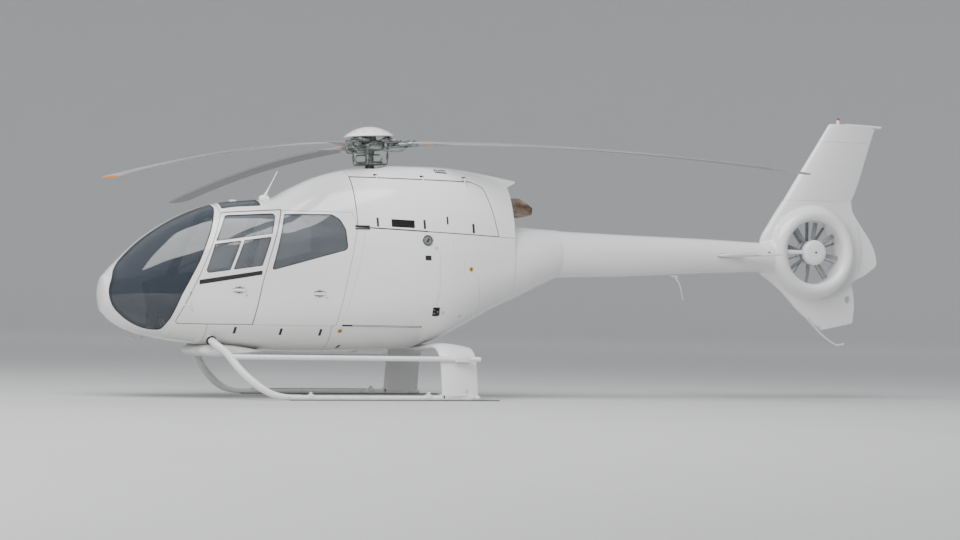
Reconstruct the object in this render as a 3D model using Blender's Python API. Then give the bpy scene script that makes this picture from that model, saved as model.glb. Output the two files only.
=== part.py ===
"""A light five-seat helicopter with a three-blade main rotor and a ducted tail fan, standing on its skids.

Lengths are metres. X runs aft, Y to starboard and Z up, so the nose is at -X. Heights in this file are above
the floor under the skids, and every object hangs from one empty at floor level, because the origin of the whole
is on the load hook plate under the mast.
"""
import math

import bmesh
import bpy
from mathutils import Matrix, Vector

for old in list(bpy.data.objects):
    bpy.data.objects.remove(old, do_unlink=True)

# Driving dimensions
HOOK_PLATE_HEIGHT = 0.500    # underside of the load hook plate above the floor: the origin is here
FIT_GAP = 0.0003             # between pieces that touch
DOOR_GAP = 0.008             # all round a door that opens
BAGGAGE_GAP = 0.011          # wider, for the door's long swing past its rear edge
COWL_GAP = 0.012             # wider too, because these doors' upper edges swing close past their hinge line
CABIN_WALL = 0.035           # doors, pillars and roof
COWL_WALL = 0.022            # cowling over the gearbox and the engine
FLOOR_HEIGHT = 0.802         # cabin and baggage floor
GLASS_OUTSIDE = 0.0103       # depth of a pane's outer face under the body's surface
GLASS_THICKNESS = 0.006
FRONT_JOINT_X = -2.000       # nose to belly, below the floor
ROOF_FRONT_X = -1.830        # nose to roof
PANEL_LINE_X = -0.620        # belly to rear fuselage
COWL_FRONT_X = -1.190        # roof to front cowl
COWL_SPLIT_X = -0.343        # front cowl to the rest of the cowling
BULKHEAD_X = -0.372          # front face of the wall behind the cabin
CONE_X = 1.600               # rear fuselage to tail cone
BOOM_X = 2.250               # tail cone to tail boom
FIN_X = 4.880                # tail boom to fan housing
CEILING_HEIGHT = 2.070
ROOF_TOP_HEIGHT = 2.100      # under the front cowl

ROTOR_RADIUS = 5.000
BLADE_CHORD = 0.260
BLADE_DROOP = 0.455          # at the tip, standing still
MAST_TILT = math.radians(2.7)
MAST_FOOT = Vector((0.0, 0.0, 2.500))
HUB_ABOVE_FOOT = 0.340
BLADE_BEARINGS = (-17.0, 103.0, 223.0)   # degrees from aft, towards starboard

FAN_CENTRE = Vector((5.570, 0.0, 1.756))
DUCT_RADIUS = 0.375
DUCT_SIDES = 36
FAN_RADIUS = 0.3665
FAN_BLADES = 8
FAN_VANES = 10

SKID_Y = 1.035
SKID_CENTRE_Z = 0.033

# Collections and the empty at floor level
parts = bpy.data.collections.new("helicopter")
cutters = bpy.data.collections.new("cutters")
bpy.context.scene.collection.children.link(parts)
bpy.context.scene.collection.children.link(cutters)


def add_empty(name, place, parent=None, turn=(0.0, 0.0, 0.0)):
    empty = bpy.data.objects.new(name, None)
    empty.empty_display_size = 0.1
    empty.location = place
    empty.rotation_euler = turn
    empty.parent = parent
    parts.objects.link(empty)
    return empty


floor_level = add_empty("floor_level", (0.0, 0.0, -HOOK_PLATE_HEIGHT))


def paint(name, colour, roughness, metallic=0.0, alpha=1.0):
    material = bpy.data.materials.new(name)
    material.use_nodes = True
    shader = material.node_tree.nodes["Principled BSDF"]
    shader.inputs["Base Color"].default_value = (*colour, 1.0)
    shader.inputs["Roughness"].default_value = roughness
    shader.inputs["Metallic"].default_value = metallic
    shader.inputs["Alpha"].default_value = alpha
    return material


FINISHES = {
    # name: colour, roughness, metallic, alpha
    "white_paint": ((0.86, 0.86, 0.84), 0.18, 0.0, 1.0),
    "skid_paint": ((0.80, 0.80, 0.78), 0.30, 0.0, 1.0),
    "tinted_glass": ((0.06, 0.08, 0.13), 0.05, 0.0, 0.35),
    "blade_grey": ((0.34, 0.34, 0.35), 0.45, 0.0, 1.0),
    "hub_metal": ((0.42, 0.45, 0.43), 0.38, 0.9, 1.0),
    "fan_metal": ((0.45, 0.46, 0.48), 0.40, 0.8, 1.0),
    "burnt_steel": ((0.28, 0.21, 0.15), 0.42, 0.9, 1.0),
    "cast_metal": ((0.40, 0.40, 0.39), 0.50, 0.8, 1.0),
    "dark_trim": ((0.05, 0.05, 0.055), 0.65, 0.0, 1.0),
    "seat_cloth": ((0.30, 0.31, 0.33), 0.90, 0.0, 1.0),
}


def finish(obj, finish_name, parent=None):
    """Puts a finished piece among the parts, with its own material."""
    obj.data.materials.clear()
    obj.data.materials.append(paint(f"{obj.name}_{finish_name}", *FINISHES[finish_name]))
    for collection in list(obj.users_collection):
        collection.objects.unlink(obj)
    parts.objects.link(obj)
    hang(obj, parent or floor_level)
    return obj


def hang(obj, parent):
    """Hangs a piece from an empty and leaves it where it is; joint empties stand in floor_level's own axes."""
    obj.parent = parent
    if parent.parent is not None and not any(parent.rotation_euler):
        obj.location = obj.location - parent.location


def as_cutter(obj):
    for collection in list(obj.users_collection):
        collection.objects.unlink(obj)
    cutters.objects.link(obj)
    obj.display_type = "WIRE"
    obj.hide_render = True
    obj.parent = floor_level
    return obj


def boolean(obj, operation, other):
    modifier = obj.modifiers.new(f"{operation.lower()}_{other.name}", "BOOLEAN")
    modifier.operation = operation
    modifier.object = other
    modifier.solver = "EXACT"
    return obj


def object_from(mesh_maker, name):
    """A new object from a bmesh, closed and facing outwards, shaded smooth with its edges kept."""
    mesh = bpy.data.meshes.new(name)
    bmesh.ops.remove_doubles(mesh_maker, verts=mesh_maker.verts, dist=0.00005)
    bmesh.ops.recalc_face_normals(mesh_maker, faces=mesh_maker.faces)
    mesh_maker.to_mesh(mesh)
    mesh_maker.free()
    mesh.shade_smooth()
    mesh.set_sharp_from_angle(angle=math.radians(32))
    obj = bpy.data.objects.new(name, mesh)
    bpy.context.scene.collection.objects.link(obj)
    return obj


# Outlines and plates
def rounded(corners, grow=0.0, steps=4):
    """An outline from corners (a, b) or (a, b, radius), moved outwards by grow, with its corners as arcs."""
    points = [Vector(corner[:2]) for corner in corners]
    radii = [corner[2] if len(corner) > 2 else 0.0 for corner in corners]
    area = sum(a.x * b.y - b.x * a.y for a, b in zip(points, points[1:] + points[:1]))
    side = 1.0 if area > 0 else -1.0
    moved = []
    for index, here in enumerate(points):
        into = (here - points[index - 1]).normalized()
        out = (points[(index + 1) % len(points)] - here).normalized()
        normal_in = Vector((into.y, -into.x)) * side
        normal_out = Vector((out.y, -out.x)) * side
        turn = into.x * out.y - into.y * out.x
        share = grow / (1.0 + normal_in.dot(normal_out))
        radius = radii[index] + (grow if turn * side > 0 else -grow) if radii[index] else 0.0
        moved.append((here + (normal_in + normal_out) * share, max(radius, 0.0)))
    outline = []
    for index, (here, radius) in enumerate(moved):
        if not radius:
            outline.append(here)
            continue
        back = (moved[index - 1][0] - here).normalized()
        on = (moved[(index + 1) % len(moved)][0] - here).normalized()
        half = back.angle(on) / 2.0
        reach = radius / math.tan(half)
        centre = here + (back + on).normalized() * (radius / math.sin(half))
        start = here + back * reach - centre
        sweep = start.angle_signed(here + on * reach - centre)
        for step in range(steps + 1):
            outline.append(centre + Matrix.Rotation(-sweep * step / steps, 2) @ start)
    return outline


PLANES = {
    # an outline's two axes: how the flat curve is turned
    "XZ": (math.pi / 2, 0.0, 0.0),
    "YZ": (math.pi / 2, 0.0, math.pi / 2),
    "XY": (0.0, 0.0, 0.0),
}


def plate(name, outline, plane, low, high):
    """A flat outline given its thickness, from low to high along the third axis."""
    curve = bpy.data.curves.new(name, "CURVE")
    curve.dimensions = "2D"
    curve.fill_mode = "BOTH"
    curve.extrude = abs(high - low) / 2.0
    spline = curve.splines.new("POLY")
    spline.points.add(len(outline) - 1)
    for point, place in zip(spline.points, outline):
        point.co = (place[0], place[1], 0.0, 1.0)
    spline.use_cyclic_u = True
    flat = bpy.data.objects.new(name, curve)
    flat.rotation_euler = PLANES[plane]
    middle = (low + high) / 2.0
    flat.location = {"XZ": (0.0, middle, 0.0), "YZ": (middle, 0.0, 0.0), "XY": (0.0, 0.0, middle)}[plane]
    return mesh_of(flat)


def mesh_of(curve_object):
    """Turns a curve object into a closed mesh object with its place in its mesh."""
    bpy.context.scene.collection.objects.link(curve_object)
    bpy.context.view_layer.update()
    evaluated = curve_object.evaluated_get(bpy.context.evaluated_depsgraph_get())
    mesh = bpy.data.meshes.new_from_object(evaluated)
    mesh.transform(curve_object.matrix_world)
    name = curve_object.name
    bpy.data.objects.remove(curve_object, do_unlink=True)
    work = bmesh.new()
    work.from_mesh(mesh)
    bpy.data.meshes.remove(mesh)
    return object_from(work, name)


def tube(name, points, radius, radii=None, resolution=3):
    """A round bar along points; radii scales its radius point by point."""
    curve = bpy.data.curves.new(name, "CURVE")
    curve.dimensions = "3D"
    curve.bevel_depth = radius
    curve.bevel_resolution = resolution
    curve.use_fill_caps = True
    spline = curve.splines.new("POLY")
    spline.points.add(len(points) - 1)
    for index, (point, place) in enumerate(zip(spline.points, points)):
        point.co = (*place, 1.0)
        point.radius = radii[index] if radii else 1.0
    return mesh_of(bpy.data.objects.new(name, curve))


def block(name, low, high, bevel=0.0):
    work = bmesh.new()
    bmesh.ops.create_cube(work, size=1.0)
    centre = (Vector(low) + Vector(high)) / 2.0
    size = Vector(high) - Vector(low)
    place = Matrix.Translation(centre) @ Matrix.Diagonal((*size, 1.0))
    bmesh.ops.transform(work, matrix=place, verts=work.verts)
    if bevel:
        bmesh.ops.bevel(work, geom=work.edges, offset=bevel, segments=2, profile=0.5, affect="EDGES")
    return object_from(work, name)


def cylinder(name, radius, low, high, axis="Z", centre=(0.0, 0.0, 0.0), sides=24, top_radius=None):
    work = bmesh.new()
    bmesh.ops.create_cone(work, cap_ends=True, segments=sides, radius1=radius,
                          radius2=radius if top_radius is None else top_radius, depth=high - low,
                          matrix=Matrix.Translation((0.0, 0.0, (low + high) / 2.0)))
    turn = {"Z": Matrix(), "Y": Matrix.Rotation(-math.pi / 2, 4, "X"), "X": Matrix.Rotation(math.pi / 2, 4, "Y")}
    bmesh.ops.transform(work, matrix=Matrix.Translation(centre) @ turn[axis], verts=work.verts)
    return object_from(work, name)


def turned(name, profile, axis="Z", centre=(0.0, 0.0, 0.0), sides=24):
    """A solid of revolution from a closed profile of (radius, height) about the axis."""
    work = bmesh.new()
    corners = [work.verts.new((radius, 0.0, height)) for radius, height in profile]
    edges = [work.edges.new(pair) for pair in zip(corners, corners[1:] + corners[:1])]
    bmesh.ops.spin(work, geom=corners + edges, cent=(0, 0, 0), axis=(0, 0, 1), angle=2 * math.pi,
                   steps=sides, use_merge=True)
    bmesh.ops.remove_doubles(work, verts=work.verts, dist=0.00005)
    turn = {"Z": Matrix(), "Y": Matrix.Rotation(-math.pi / 2, 4, "X")}
    bmesh.ops.transform(work, matrix=Matrix.Translation(centre) @ turn[axis], verts=work.verts)
    return object_from(work, name)


def loft(name, rings):
    """Skins a row of rings with equal numbers of points and closes both ends."""
    work = bmesh.new()
    rows = [[work.verts.new(place) for place in ring] for ring in rings]
    for row, following in zip(rows, rows[1:]):
        for index in range(len(row)):
            after = (index + 1) % len(row)
            work.faces.new((row[index], row[after], following[after], following[index]))
    bmesh.ops.triangulate(work, faces=work.faces, quad_method="FIXED")
    work.faces.new(rows[0])
    work.faces.new(rows[-1])
    return object_from(work, name)


# The body: one smooth form from the nose to the end of the cowling, which every panel is cut from
BODY_SECTIONS = (
    # x, half width, lowest, height of greatest width, highest, fullness below, fullness above
    (-3.080, 0.030, 1.095, 1.120, 1.145, 2.0, 2.0),
    (-3.060, 0.140, 0.985, 1.120, 1.245, 2.0, 2.0),
    (-3.000, 0.260, 0.885, 1.120, 1.345, 2.0, 2.0),
    (-2.880, 0.390, 0.785, 1.130, 1.475, 2.0, 2.0),
    (-2.700, 0.510, 0.705, 1.140, 1.655, 2.1, 2.0),
    (-2.450, 0.610, 0.645, 1.150, 1.845, 2.2, 2.1),
    (-2.150, 0.680, 0.597, 1.160, 2.010, 2.4, 2.2),
    (-1.800, 0.725, 0.556, 1.180, 2.130, 2.6, 2.4),
    (-1.400, 0.745, 0.527, 1.200, 2.180, 2.7, 2.55),
    (-1.150, 0.750, 0.515, 1.220, 2.210, 2.7, 2.5),
    (-0.950, 0.750, 0.510, 1.230, 2.320, 2.7, 2.35),
    (-0.700, 0.750, 0.512, 1.245, 2.440, 2.7, 2.25),
    (-0.400, 0.750, 0.520, 1.260, 2.535, 2.7, 2.15),
    (0.000, 0.745, 0.535, 1.280, 2.605, 2.6, 2.1),
    (0.400, 0.725, 0.560, 1.300, 2.620, 2.5, 2.1),
    (0.700, 0.690, 0.640, 1.330, 2.620, 2.4, 2.1),
    (1.000, 0.630, 0.775, 1.370, 2.605, 2.2, 2.1),
    (1.400, 0.520, 0.990, 1.460, 2.550, 2.1, 2.1),
    (1.900, 0.380, 1.215, 1.560, 2.460, 2.0, 2.1),
)
BODY_POINTS = 32
NOSE_WALL_X = -2.450     # forward of this the wall's depth is taken more and more along X


def oval_ring(x, half_width, low, wide, high, full_low, full_high, points=BODY_POINTS):
    """One cross section: a rounded form with its own fullness above and below its widest line."""
    ring = []
    for index in range(points):
        angle = 2.0 * math.pi * index / points
        across, up = math.cos(angle), math.sin(angle)
        full = full_high if up > 0 else full_low
        reach = high - wide if up > 0 else wide - low
        y = half_width * math.copysign(abs(across) ** (2.0 / full), across)
        z = wide + reach * math.copysign(abs(up) ** (2.0 / full), up)
        ring.append((x, y, z))
    return ring


def body_form(name, depth=0.0):
    """The body's form, moved inwards by depth; a negative depth makes it larger."""
    rings = []
    for x, half_width, low, wide, high, full_low, full_high in BODY_SECTIONS:
        steep = max(0.0, (NOSE_WALL_X - x) / (NOSE_WALL_X - BODY_SECTIONS[0][0]))
        inwards = depth * (1.0 + 0.7 * steep * steep)
        if half_width - inwards < 0.02:
            continue
        rings.append(oval_ring(x, half_width - inwards, low + inwards, wide, high - inwards, full_low,
                               full_high))
    if depth < 0:
        rings[0] = [(x + depth, y, z) for x, y, z in rings[0]]
    return loft(name, rings)


def section_at(x):
    """The body's section at any x, between the two nearest rows of its table."""
    for row, following in zip(BODY_SECTIONS, BODY_SECTIONS[1:]):
        if x <= following[0]:
            share = (x - row[0]) / (following[0] - row[0])
            return [a + (b - a) * share for a, b in zip(row, following)]


def top_at(x, y):
    """Height of the body's upper surface."""
    _, half_width, low, wide, high, full_low, full_high = section_at(x)
    return wide + (high - wide) * (1.0 - (abs(y) / half_width) ** full_high) ** (1.0 / full_high)


def side_at(x, z):
    """Distance of the body's side from the middle plane."""
    _, half_width, low, wide, high, full_low, full_high = section_at(x)
    full, reach = (full_high, high - wide) if z > wide else (full_low, wide - low)
    return half_width * (1.0 - (abs(z - wide) / reach) ** full) ** (1.0 / full)


HINGE_DEPTH = 0.016      # of a hinge arm's end, under the panel's surface
KNUCKLE_LENGTH = 0.022
KNUCKLE_RADIUS = 0.008
HINGE_ARM_RADIUS = 0.006


def hinge(name, place, axis, fixed_panel, fixed_foot, moving_panel, moving_foot):
    """Two knuckles end to end on a door's axis, each with an arm down into its own panel."""
    for half, panel_object, foot, along in (("fixed", fixed_panel, fixed_foot, -1.0),
                                            ("moving", moving_panel, moving_foot, 1.0)):
        near, far = place + axis * along * FIT_GAP / 2.0, place + axis * along * KNUCKLE_LENGTH
        knuckle = as_cutter(tube(f"{name}_{half}_knuckle", [near, far], KNUCKLE_RADIUS, resolution=1))
        arm_end = foot + axis * along * KNUCKLE_LENGTH / 2.0
        arm = as_cutter(tube(f"{name}_{half}_arm", [(near + far) / 2.0, arm_end], HINGE_ARM_RADIUS, resolution=1))
        boolean(panel_object, "UNION", knuckle)
        boolean(panel_object, "UNION", arm)


body_inside_cabin = as_cutter(body_form("body_inside_cabin", CABIN_WALL))
body_inside_cowl = as_cutter(body_form("body_inside_cowl", COWL_WALL))
body_inside_bars = as_cutter(body_form("body_inside_bars", GLASS_OUTSIDE - FIT_GAP))
body_inside_glass = as_cutter(body_form("body_inside_glass", GLASS_OUTSIDE + GLASS_THICKNESS))
body_inside_nose = as_cutter(body_form("body_inside_nose", CABIN_WALL + FIT_GAP))
body_with_gap = as_cutter(body_form("body_with_gap", -FIT_GAP))

OUT = 1.2              # further out than any part of the body
DOOR_INNER_Y = 0.300   # the doorways' cuts stop short of the middle of the roof and of the wall behind the cabin


def region(name, corners, plane="XZ", low=-OUT, high=OUT, grow=0.0):
    return as_cutter(plate(name, rounded(corners, grow), plane, low, high))


def panel(name, keep, remove, finish_name="white_paint", depth=0.0, parent=None):
    """A panel: the body's form kept inside some regions and emptied by others."""
    obj = body_form(name, depth)
    for cutter in keep:
        boolean(obj, "INTERSECT", cutter)
    for cutter in remove:
        boolean(obj, "DIFFERENCE", cutter)
    return finish(obj, finish_name, parent)


# Hollows
cabin_space = region("cabin_space", (
    (-3.4, 0.4), (FRONT_JOINT_X - 0.020, 0.4), (FRONT_JOINT_X - 0.020, FLOOR_HEIGHT), (BULKHEAD_X, FLOOR_HEIGHT),
    (BULKHEAD_X, CEILING_HEIGHT), (-1.230, CEILING_HEIGHT), (-1.230, 2.8), (-3.4, 2.8)))
boolean(cabin_space, "INTERSECT", body_inside_cabin)
baggage_space = region("baggage_space", (
    (-0.332, FLOOR_HEIGHT), (1.540, FLOOR_HEIGHT), (1.540, 1.745), (-0.332, 1.790)))
boolean(baggage_space, "INTERSECT", body_inside_cabin)
cowl_space = region("cowl_space", (
    (-1.090, 1.5), (1.480, 1.5), (1.460, 2.9), (-1.090, 2.9)))
boolean(cowl_space, "INTERSECT", body_inside_cowl)

# Outlines in the side view: X, height, corner radius
FRONT_DOOR_LOW = FLOOR_HEIGHT + FIT_GAP + DOOR_GAP
SLIDING_DOOR_LOW = FLOOR_HEIGHT + 2 * FIT_GAP
FRONT_DOOR = ((-2.345, FRONT_DOOR_LOW, 0.03), (-1.524, FRONT_DOOR_LOW), (-1.435, 1.247), (-1.357, 1.521),
              (-1.176, 2.058), (-1.824, 2.011, 0.05), (-1.960, 1.660), (-2.113, 1.310), (-2.240, 1.037))
DOOR_RISE = 0.006      # the doorway is this much higher and longer at its top, where the door swings past it
FRONT_DOORWAY = [(x + DOOR_RISE, z + DOOR_RISE, *radius) if z > 2.0 else (x, z, *radius)
                 for x, z, *radius in FRONT_DOOR]
SLIDING_DOOR = ((-1.516, SLIDING_DOOR_LOW), (-0.576, SLIDING_DOOR_LOW, 0.03), (-0.435, 1.479), (-0.352, 1.850),
                (-0.352, 1.940), (-0.395, 2.054, 0.03), (-1.163, 2.058), (-1.349, 1.521), (-1.427, 1.247))
FRONT_WINDOW = ((-1.788, 1.989, 0.04), (-1.237, 2.024, 0.03), (-1.431, 1.443, 0.02), (-2.053, 1.348, 0.03))
FRONT_PANES = (
    ((-1.790, 1.989, 0.04), (-1.237, 2.024, 0.03), (-1.304, 1.796, 0.01), (-1.926, 1.700, 0.01)),
    ((-1.936, 1.670, 0.01), (-1.650, 1.712, 0.01), (-1.784, 1.389, 0.01), (-2.053, 1.348, 0.03)),
    ((-1.620, 1.717, 0.01), (-1.315, 1.763, 0.01), (-1.431, 1.443, 0.02), (-1.752, 1.394, 0.01)))
REAR_WINDOW = ((-1.146, 2.019, 0.03), (-0.610, 2.026, 0.13), (-0.470, 1.880, 0.10), (-0.468, 1.638, 0.06),
               (-1.330, 1.393, 0.02))
COWL_DOOR = ((-0.335, 1.8965), (1.372, 1.8365), (1.310, 2.130), (1.235, 2.385, 0.12), (1.090, 2.443),
             (-0.335, 2.455))
BAGGAGE_DOOR = ((-0.250, 0.950, 0.04), (0.480, 0.950, 0.04), (0.480, 1.700, 0.04), (-0.210, 1.700, 0.04))
WINDSCREEN_SIDE = ((-1.868, 2.8), (-1.868, 2.070, 0.04), (-1.964, 1.801), (-2.098, 1.486), (-2.292, 1.114),
                   (-2.390, 0.860, 0.08), (-2.455, 0.745, 0.04), (-2.620, 0.690), (-3.4, 0.620), (-3.4, 2.8))
WINDSCREEN_FRONT = ((-0.045, 2.8), (-0.045, 1.620), (-0.070, 1.480, 0.1), (-0.235, 1.290, 0.15),
                    (-0.272, 0.950, 0.3), (-0.290, 0.735, 0.05), (-1.0, 0.735), (-1.0, 2.8))
ROOF_WINDOW = ((-1.780, -0.060, 0.03), (-1.360, -0.060, 0.03), (-1.365, -0.390, 0.03), (-1.802, -0.345, 0.03))

SIDES = (
    # name, sign of Y
    ("port", -1.0),
    ("starboard", 1.0),
)
door_openings = []
side_windows = {}
cowl_openings = []
windscreen_openings = []
roof_openings = []
for side, sign in SIDES:
    low, high = (-OUT, -DOOR_INNER_Y) if sign < 0 else (DOOR_INNER_Y, OUT)
    door_openings.append(region(f"front_door_opening_{side}", FRONT_DOORWAY, "XZ", low, high, DOOR_GAP))
    low, high = (-OUT, 0.0) if sign < 0 else (0.0, OUT)
    cowl_openings.append(region(f"cowl_opening_{side}", COWL_DOOR, "XZ", low, high, COWL_GAP))
    screen = region(f"windscreen_opening_{side}", WINDSCREEN_SIDE, "XZ", low, high)
    flipped = [(-y * sign, z, *radius) for y, z, *radius in WINDSCREEN_FRONT]
    boolean(screen, "INTERSECT", region(f"windscreen_front_{side}", flipped, "YZ", -3.5, -1.5))
    windscreen_openings.append(screen)
    flipped = [(x, -y * sign, *radius) for x, y, *radius in ROOF_WINDOW]
    roof_openings.append(region(f"roof_opening_{side}", flipped, "XY", 1.8, 2.6))
sliding_opening = region("sliding_door_opening", SLIDING_DOOR, "XZ", -OUT, -DOOR_INNER_Y, FIT_GAP)
side_panel_opening = region("side_panel_opening", SLIDING_DOOR, "XZ", DOOR_INNER_Y, OUT, FIT_GAP)
baggage_opening = region("baggage_opening", BAGGAGE_DOOR, "XZ", 0.0, OUT, BAGGAGE_GAP)

# Nose, belly and roof
nose_region = region("nose_region", (
    (-3.4, 0.4), (FRONT_JOINT_X, 0.4), (FRONT_JOINT_X, FLOOR_HEIGHT + FIT_GAP),
    (ROOF_FRONT_X, FLOOR_HEIGHT + FIT_GAP), (ROOF_FRONT_X, 2.8), (-3.4, 2.8)))
nose_frame = panel("nose_frame", [nose_region], [cabin_space] + door_openings + windscreen_openings)
belly_region = region("belly_region", (
    (FRONT_JOINT_X + FIT_GAP, 0.3), (PANEL_LINE_X - FIT_GAP, 0.3), (PANEL_LINE_X - FIT_GAP, FLOOR_HEIGHT),
    (FRONT_JOINT_X + FIT_GAP, FLOOR_HEIGHT)))
panel("belly", [belly_region], [])
roof_region = region("roof_region", (
    (ROOF_FRONT_X + FIT_GAP, 1.9), (PANEL_LINE_X - FIT_GAP, 1.9), (PANEL_LINE_X - FIT_GAP, CEILING_HEIGHT),
    (COWL_SPLIT_X - FIT_GAP, CEILING_HEIGHT), (COWL_SPLIT_X - FIT_GAP, ROOF_TOP_HEIGHT),
    (COWL_FRONT_X, ROOF_TOP_HEIGHT), (COWL_FRONT_X, 2.8), (ROOF_FRONT_X + FIT_GAP, 2.8)))
panel("roof", [roof_region], [cabin_space, sliding_opening, side_panel_opening] + door_openings + roof_openings)

# Glass in the nose and the roof
for index, (side, sign) in enumerate(SIDES):
    low, high = (-OUT, 0.0) if sign < 0 else (0.0, OUT)
    screen = region(f"windscreen_fit_{side}", WINDSCREEN_SIDE, "XZ", low, high, -FIT_GAP)
    flipped = [(-y * sign, z, *radius) for y, z, *radius in WINDSCREEN_FRONT]
    boolean(screen, "INTERSECT", region(f"windscreen_fit_front_{side}", flipped, "YZ", -3.5, -1.5, -FIT_GAP))
    panel(f"windscreen_{side}", [screen], [body_inside_glass], "tinted_glass", GLASS_OUTSIDE)
    flipped = [(x, -y * sign, *radius) for x, y, *radius in ROOF_WINDOW]
    pane = region(f"roof_fit_{side}", flipped, "XY", 1.8, 2.6, -FIT_GAP)
    panel(f"roof_window_{side}", [pane], [body_inside_glass], "tinted_glass", GLASS_OUTSIDE)

# Front doors, hinged at their leading edge
DOOR_HINGE_X = -2.223
DOOR_HINGE_Y = 0.700           # at the height below
DOOR_HINGE_Z = 1.080
DOOR_HINGE_LEAN = 0.10         # inwards for each metre up
FRONT_DOOR_HINGES = (
    # height, x of the arm's foot in the frame, x of the arm's foot in the door
    (1.145, -2.235, -2.150),
    (1.016, -2.295, -2.210),
)
for side, sign in SIDES:
    low, high = (-OUT, 0.0) if sign < 0 else (0.0, OUT)
    door_axis = Vector((0.0, -sign * DOOR_HINGE_LEAN, 1.0)).normalized()
    hinge_line = add_empty(f"front_door_hinge_{side}", (DOOR_HINGE_X, sign * DOOR_HINGE_Y, DOOR_HINGE_Z),
                           floor_level)
    outline = region(f"front_door_outline_{side}", FRONT_DOOR, "XZ", low, high)
    behind_bars = region(f"front_window_{side}", FRONT_WINDOW, "XZ", low, high)
    boolean(behind_bars, "INTERSECT", body_inside_bars)
    panes = [region(f"front_pane_{number}_{side}", pane, "XZ", low, high)
             for number, pane in enumerate(FRONT_PANES)]
    door = panel(f"front_door_{side}", [outline], [body_inside_cabin, behind_bars] + panes, parent=hinge_line)
    for number, (height, frame_x, door_x) in enumerate(FRONT_DOOR_HINGES):
        axis_y = DOOR_HINGE_Y - DOOR_HINGE_LEAN * (height - DOOR_HINGE_Z)
        feet = [Vector((x, sign * (side_at(x, height) - HINGE_DEPTH), height)) for x in (frame_x, door_x)]
        hinge(f"front_door_{side}_{number}", Vector((DOOR_HINGE_X, sign * axis_y, height)), door_axis,
              nose_frame, feet[0], door, feet[1])
    pane = region(f"front_glass_fit_{side}", FRONT_WINDOW, "XZ", low, high, -FIT_GAP)
    panel(f"front_door_glass_{side}", [pane], [body_inside_glass], "tinted_glass", GLASS_OUTSIDE, hinge_line)

# Sliding door on the port side, fixed panel of the same shape on the starboard side
for side, sign, name in (("port", -1.0, "sliding_door"), ("starboard", 1.0, "side_panel")):
    low, high = (-OUT, 0.0) if sign < 0 else (0.0, OUT)
    outline = region(f"{name}_outline", SLIDING_DOOR, "XZ", low, high)
    window = region(f"{name}_window", REAR_WINDOW, "XZ", low, high)
    panel(name, [outline], [body_inside_cabin, window])
    pane = region(f"{name}_glass_fit", REAR_WINDOW, "XZ", low, high, -FIT_GAP)
    panel(f"{name}_glass", [pane], [body_inside_glass], "tinted_glass", GLASS_OUTSIDE)

# Rear fuselage with the wall behind the cabin and the baggage space
SEAM_FRONT = (-0.343, 1.8885)
SEAM_REAR = (CONE_X, 1.8205)
rear_region = region("rear_region", (
    (PANEL_LINE_X, 0.3), (CONE_X - FIT_GAP, 0.3), (CONE_X - FIT_GAP, SEAM_REAR[1] - FIT_GAP),
    (SEAM_FRONT[0], SEAM_FRONT[1] - FIT_GAP), (SEAM_FRONT[0], CEILING_HEIGHT - FIT_GAP),
    (PANEL_LINE_X, CEILING_HEIGHT - FIT_GAP)))
rear_fuselage = panel("rear_fuselage", [rear_region],
                      [cabin_space, baggage_space, baggage_opening, sliding_opening, side_panel_opening])
BAGGAGE_HINGE = Vector((-0.240, 0.762, 1.325))
BAGGAGE_HINGE_FEET = (-0.285, -0.180)      # in the fuselage, in the door
baggage_hinge = add_empty("baggage_hinge", BAGGAGE_HINGE, floor_level)
baggage_outline = region("baggage_outline", BAGGAGE_DOOR, "XZ", 0.0, OUT)
baggage_door = panel("baggage_door", [baggage_outline], [body_inside_cabin], parent=baggage_hinge)
for number, height in enumerate((1.100, 1.550)):
    feet = [Vector((x, side_at(x, height) - HINGE_DEPTH, height)) for x in BAGGAGE_HINGE_FEET]
    hinge(f"baggage_door_{number}", Vector((*BAGGAGE_HINGE.xy, height)), Vector((0.0, 0.0, 1.0)),
          rear_fuselage, feet[0], baggage_door, feet[1])

# Cowling: fixed front, fixed spine with the rear end, and two doors hinged at the top
panel("front_cowl", [region("front_cowl_region", (
    (COWL_FRONT_X + FIT_GAP, ROOF_TOP_HEIGHT + FIT_GAP), (COWL_SPLIT_X - FIT_GAP, ROOF_TOP_HEIGHT + FIT_GAP),
    (COWL_SPLIT_X - FIT_GAP, 2.9), (COWL_FRONT_X + FIT_GAP, 2.9)))], [cowl_space])
MAST_HOLE_RADIUS = 0.190
mast_hole = as_cutter(cylinder("mast_hole", MAST_HOLE_RADIUS, 2.4, 2.9))
EXHAUST_PLACE = Vector((1.55, 0.0, 2.190))
EXHAUST_RADIUS = 0.115
exhaust_hole = as_cutter(cylinder("exhaust_hole", EXHAUST_RADIUS + 0.020, -0.25, 0.35, "X", EXHAUST_PLACE))
cowl_spine = panel("cowl_spine", [region("cowl_spine_region", (
    (SEAM_FRONT[0], SEAM_FRONT[1] + FIT_GAP), (SEAM_REAR[0] - FIT_GAP, SEAM_REAR[1] + FIT_GAP),
    (SEAM_REAR[0] - FIT_GAP, 2.000), (1.582, 2.260), (1.568, 2.405, 0.02), (1.700, 2.462), (1.728, 2.482, 0.012),
    (1.715, 2.900), (SEAM_FRONT[0], 2.900)))], [cowl_space, mast_hole, exhaust_hole] + cowl_openings)
COWL_HINGE_Y = 0.340
COWL_HINGE_Z = 2.493
COWL_HINGE_FEET = (0.300, 0.405)           # in the spine, in the door
COWL_HINGE_DEPTH = 0.012
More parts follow.
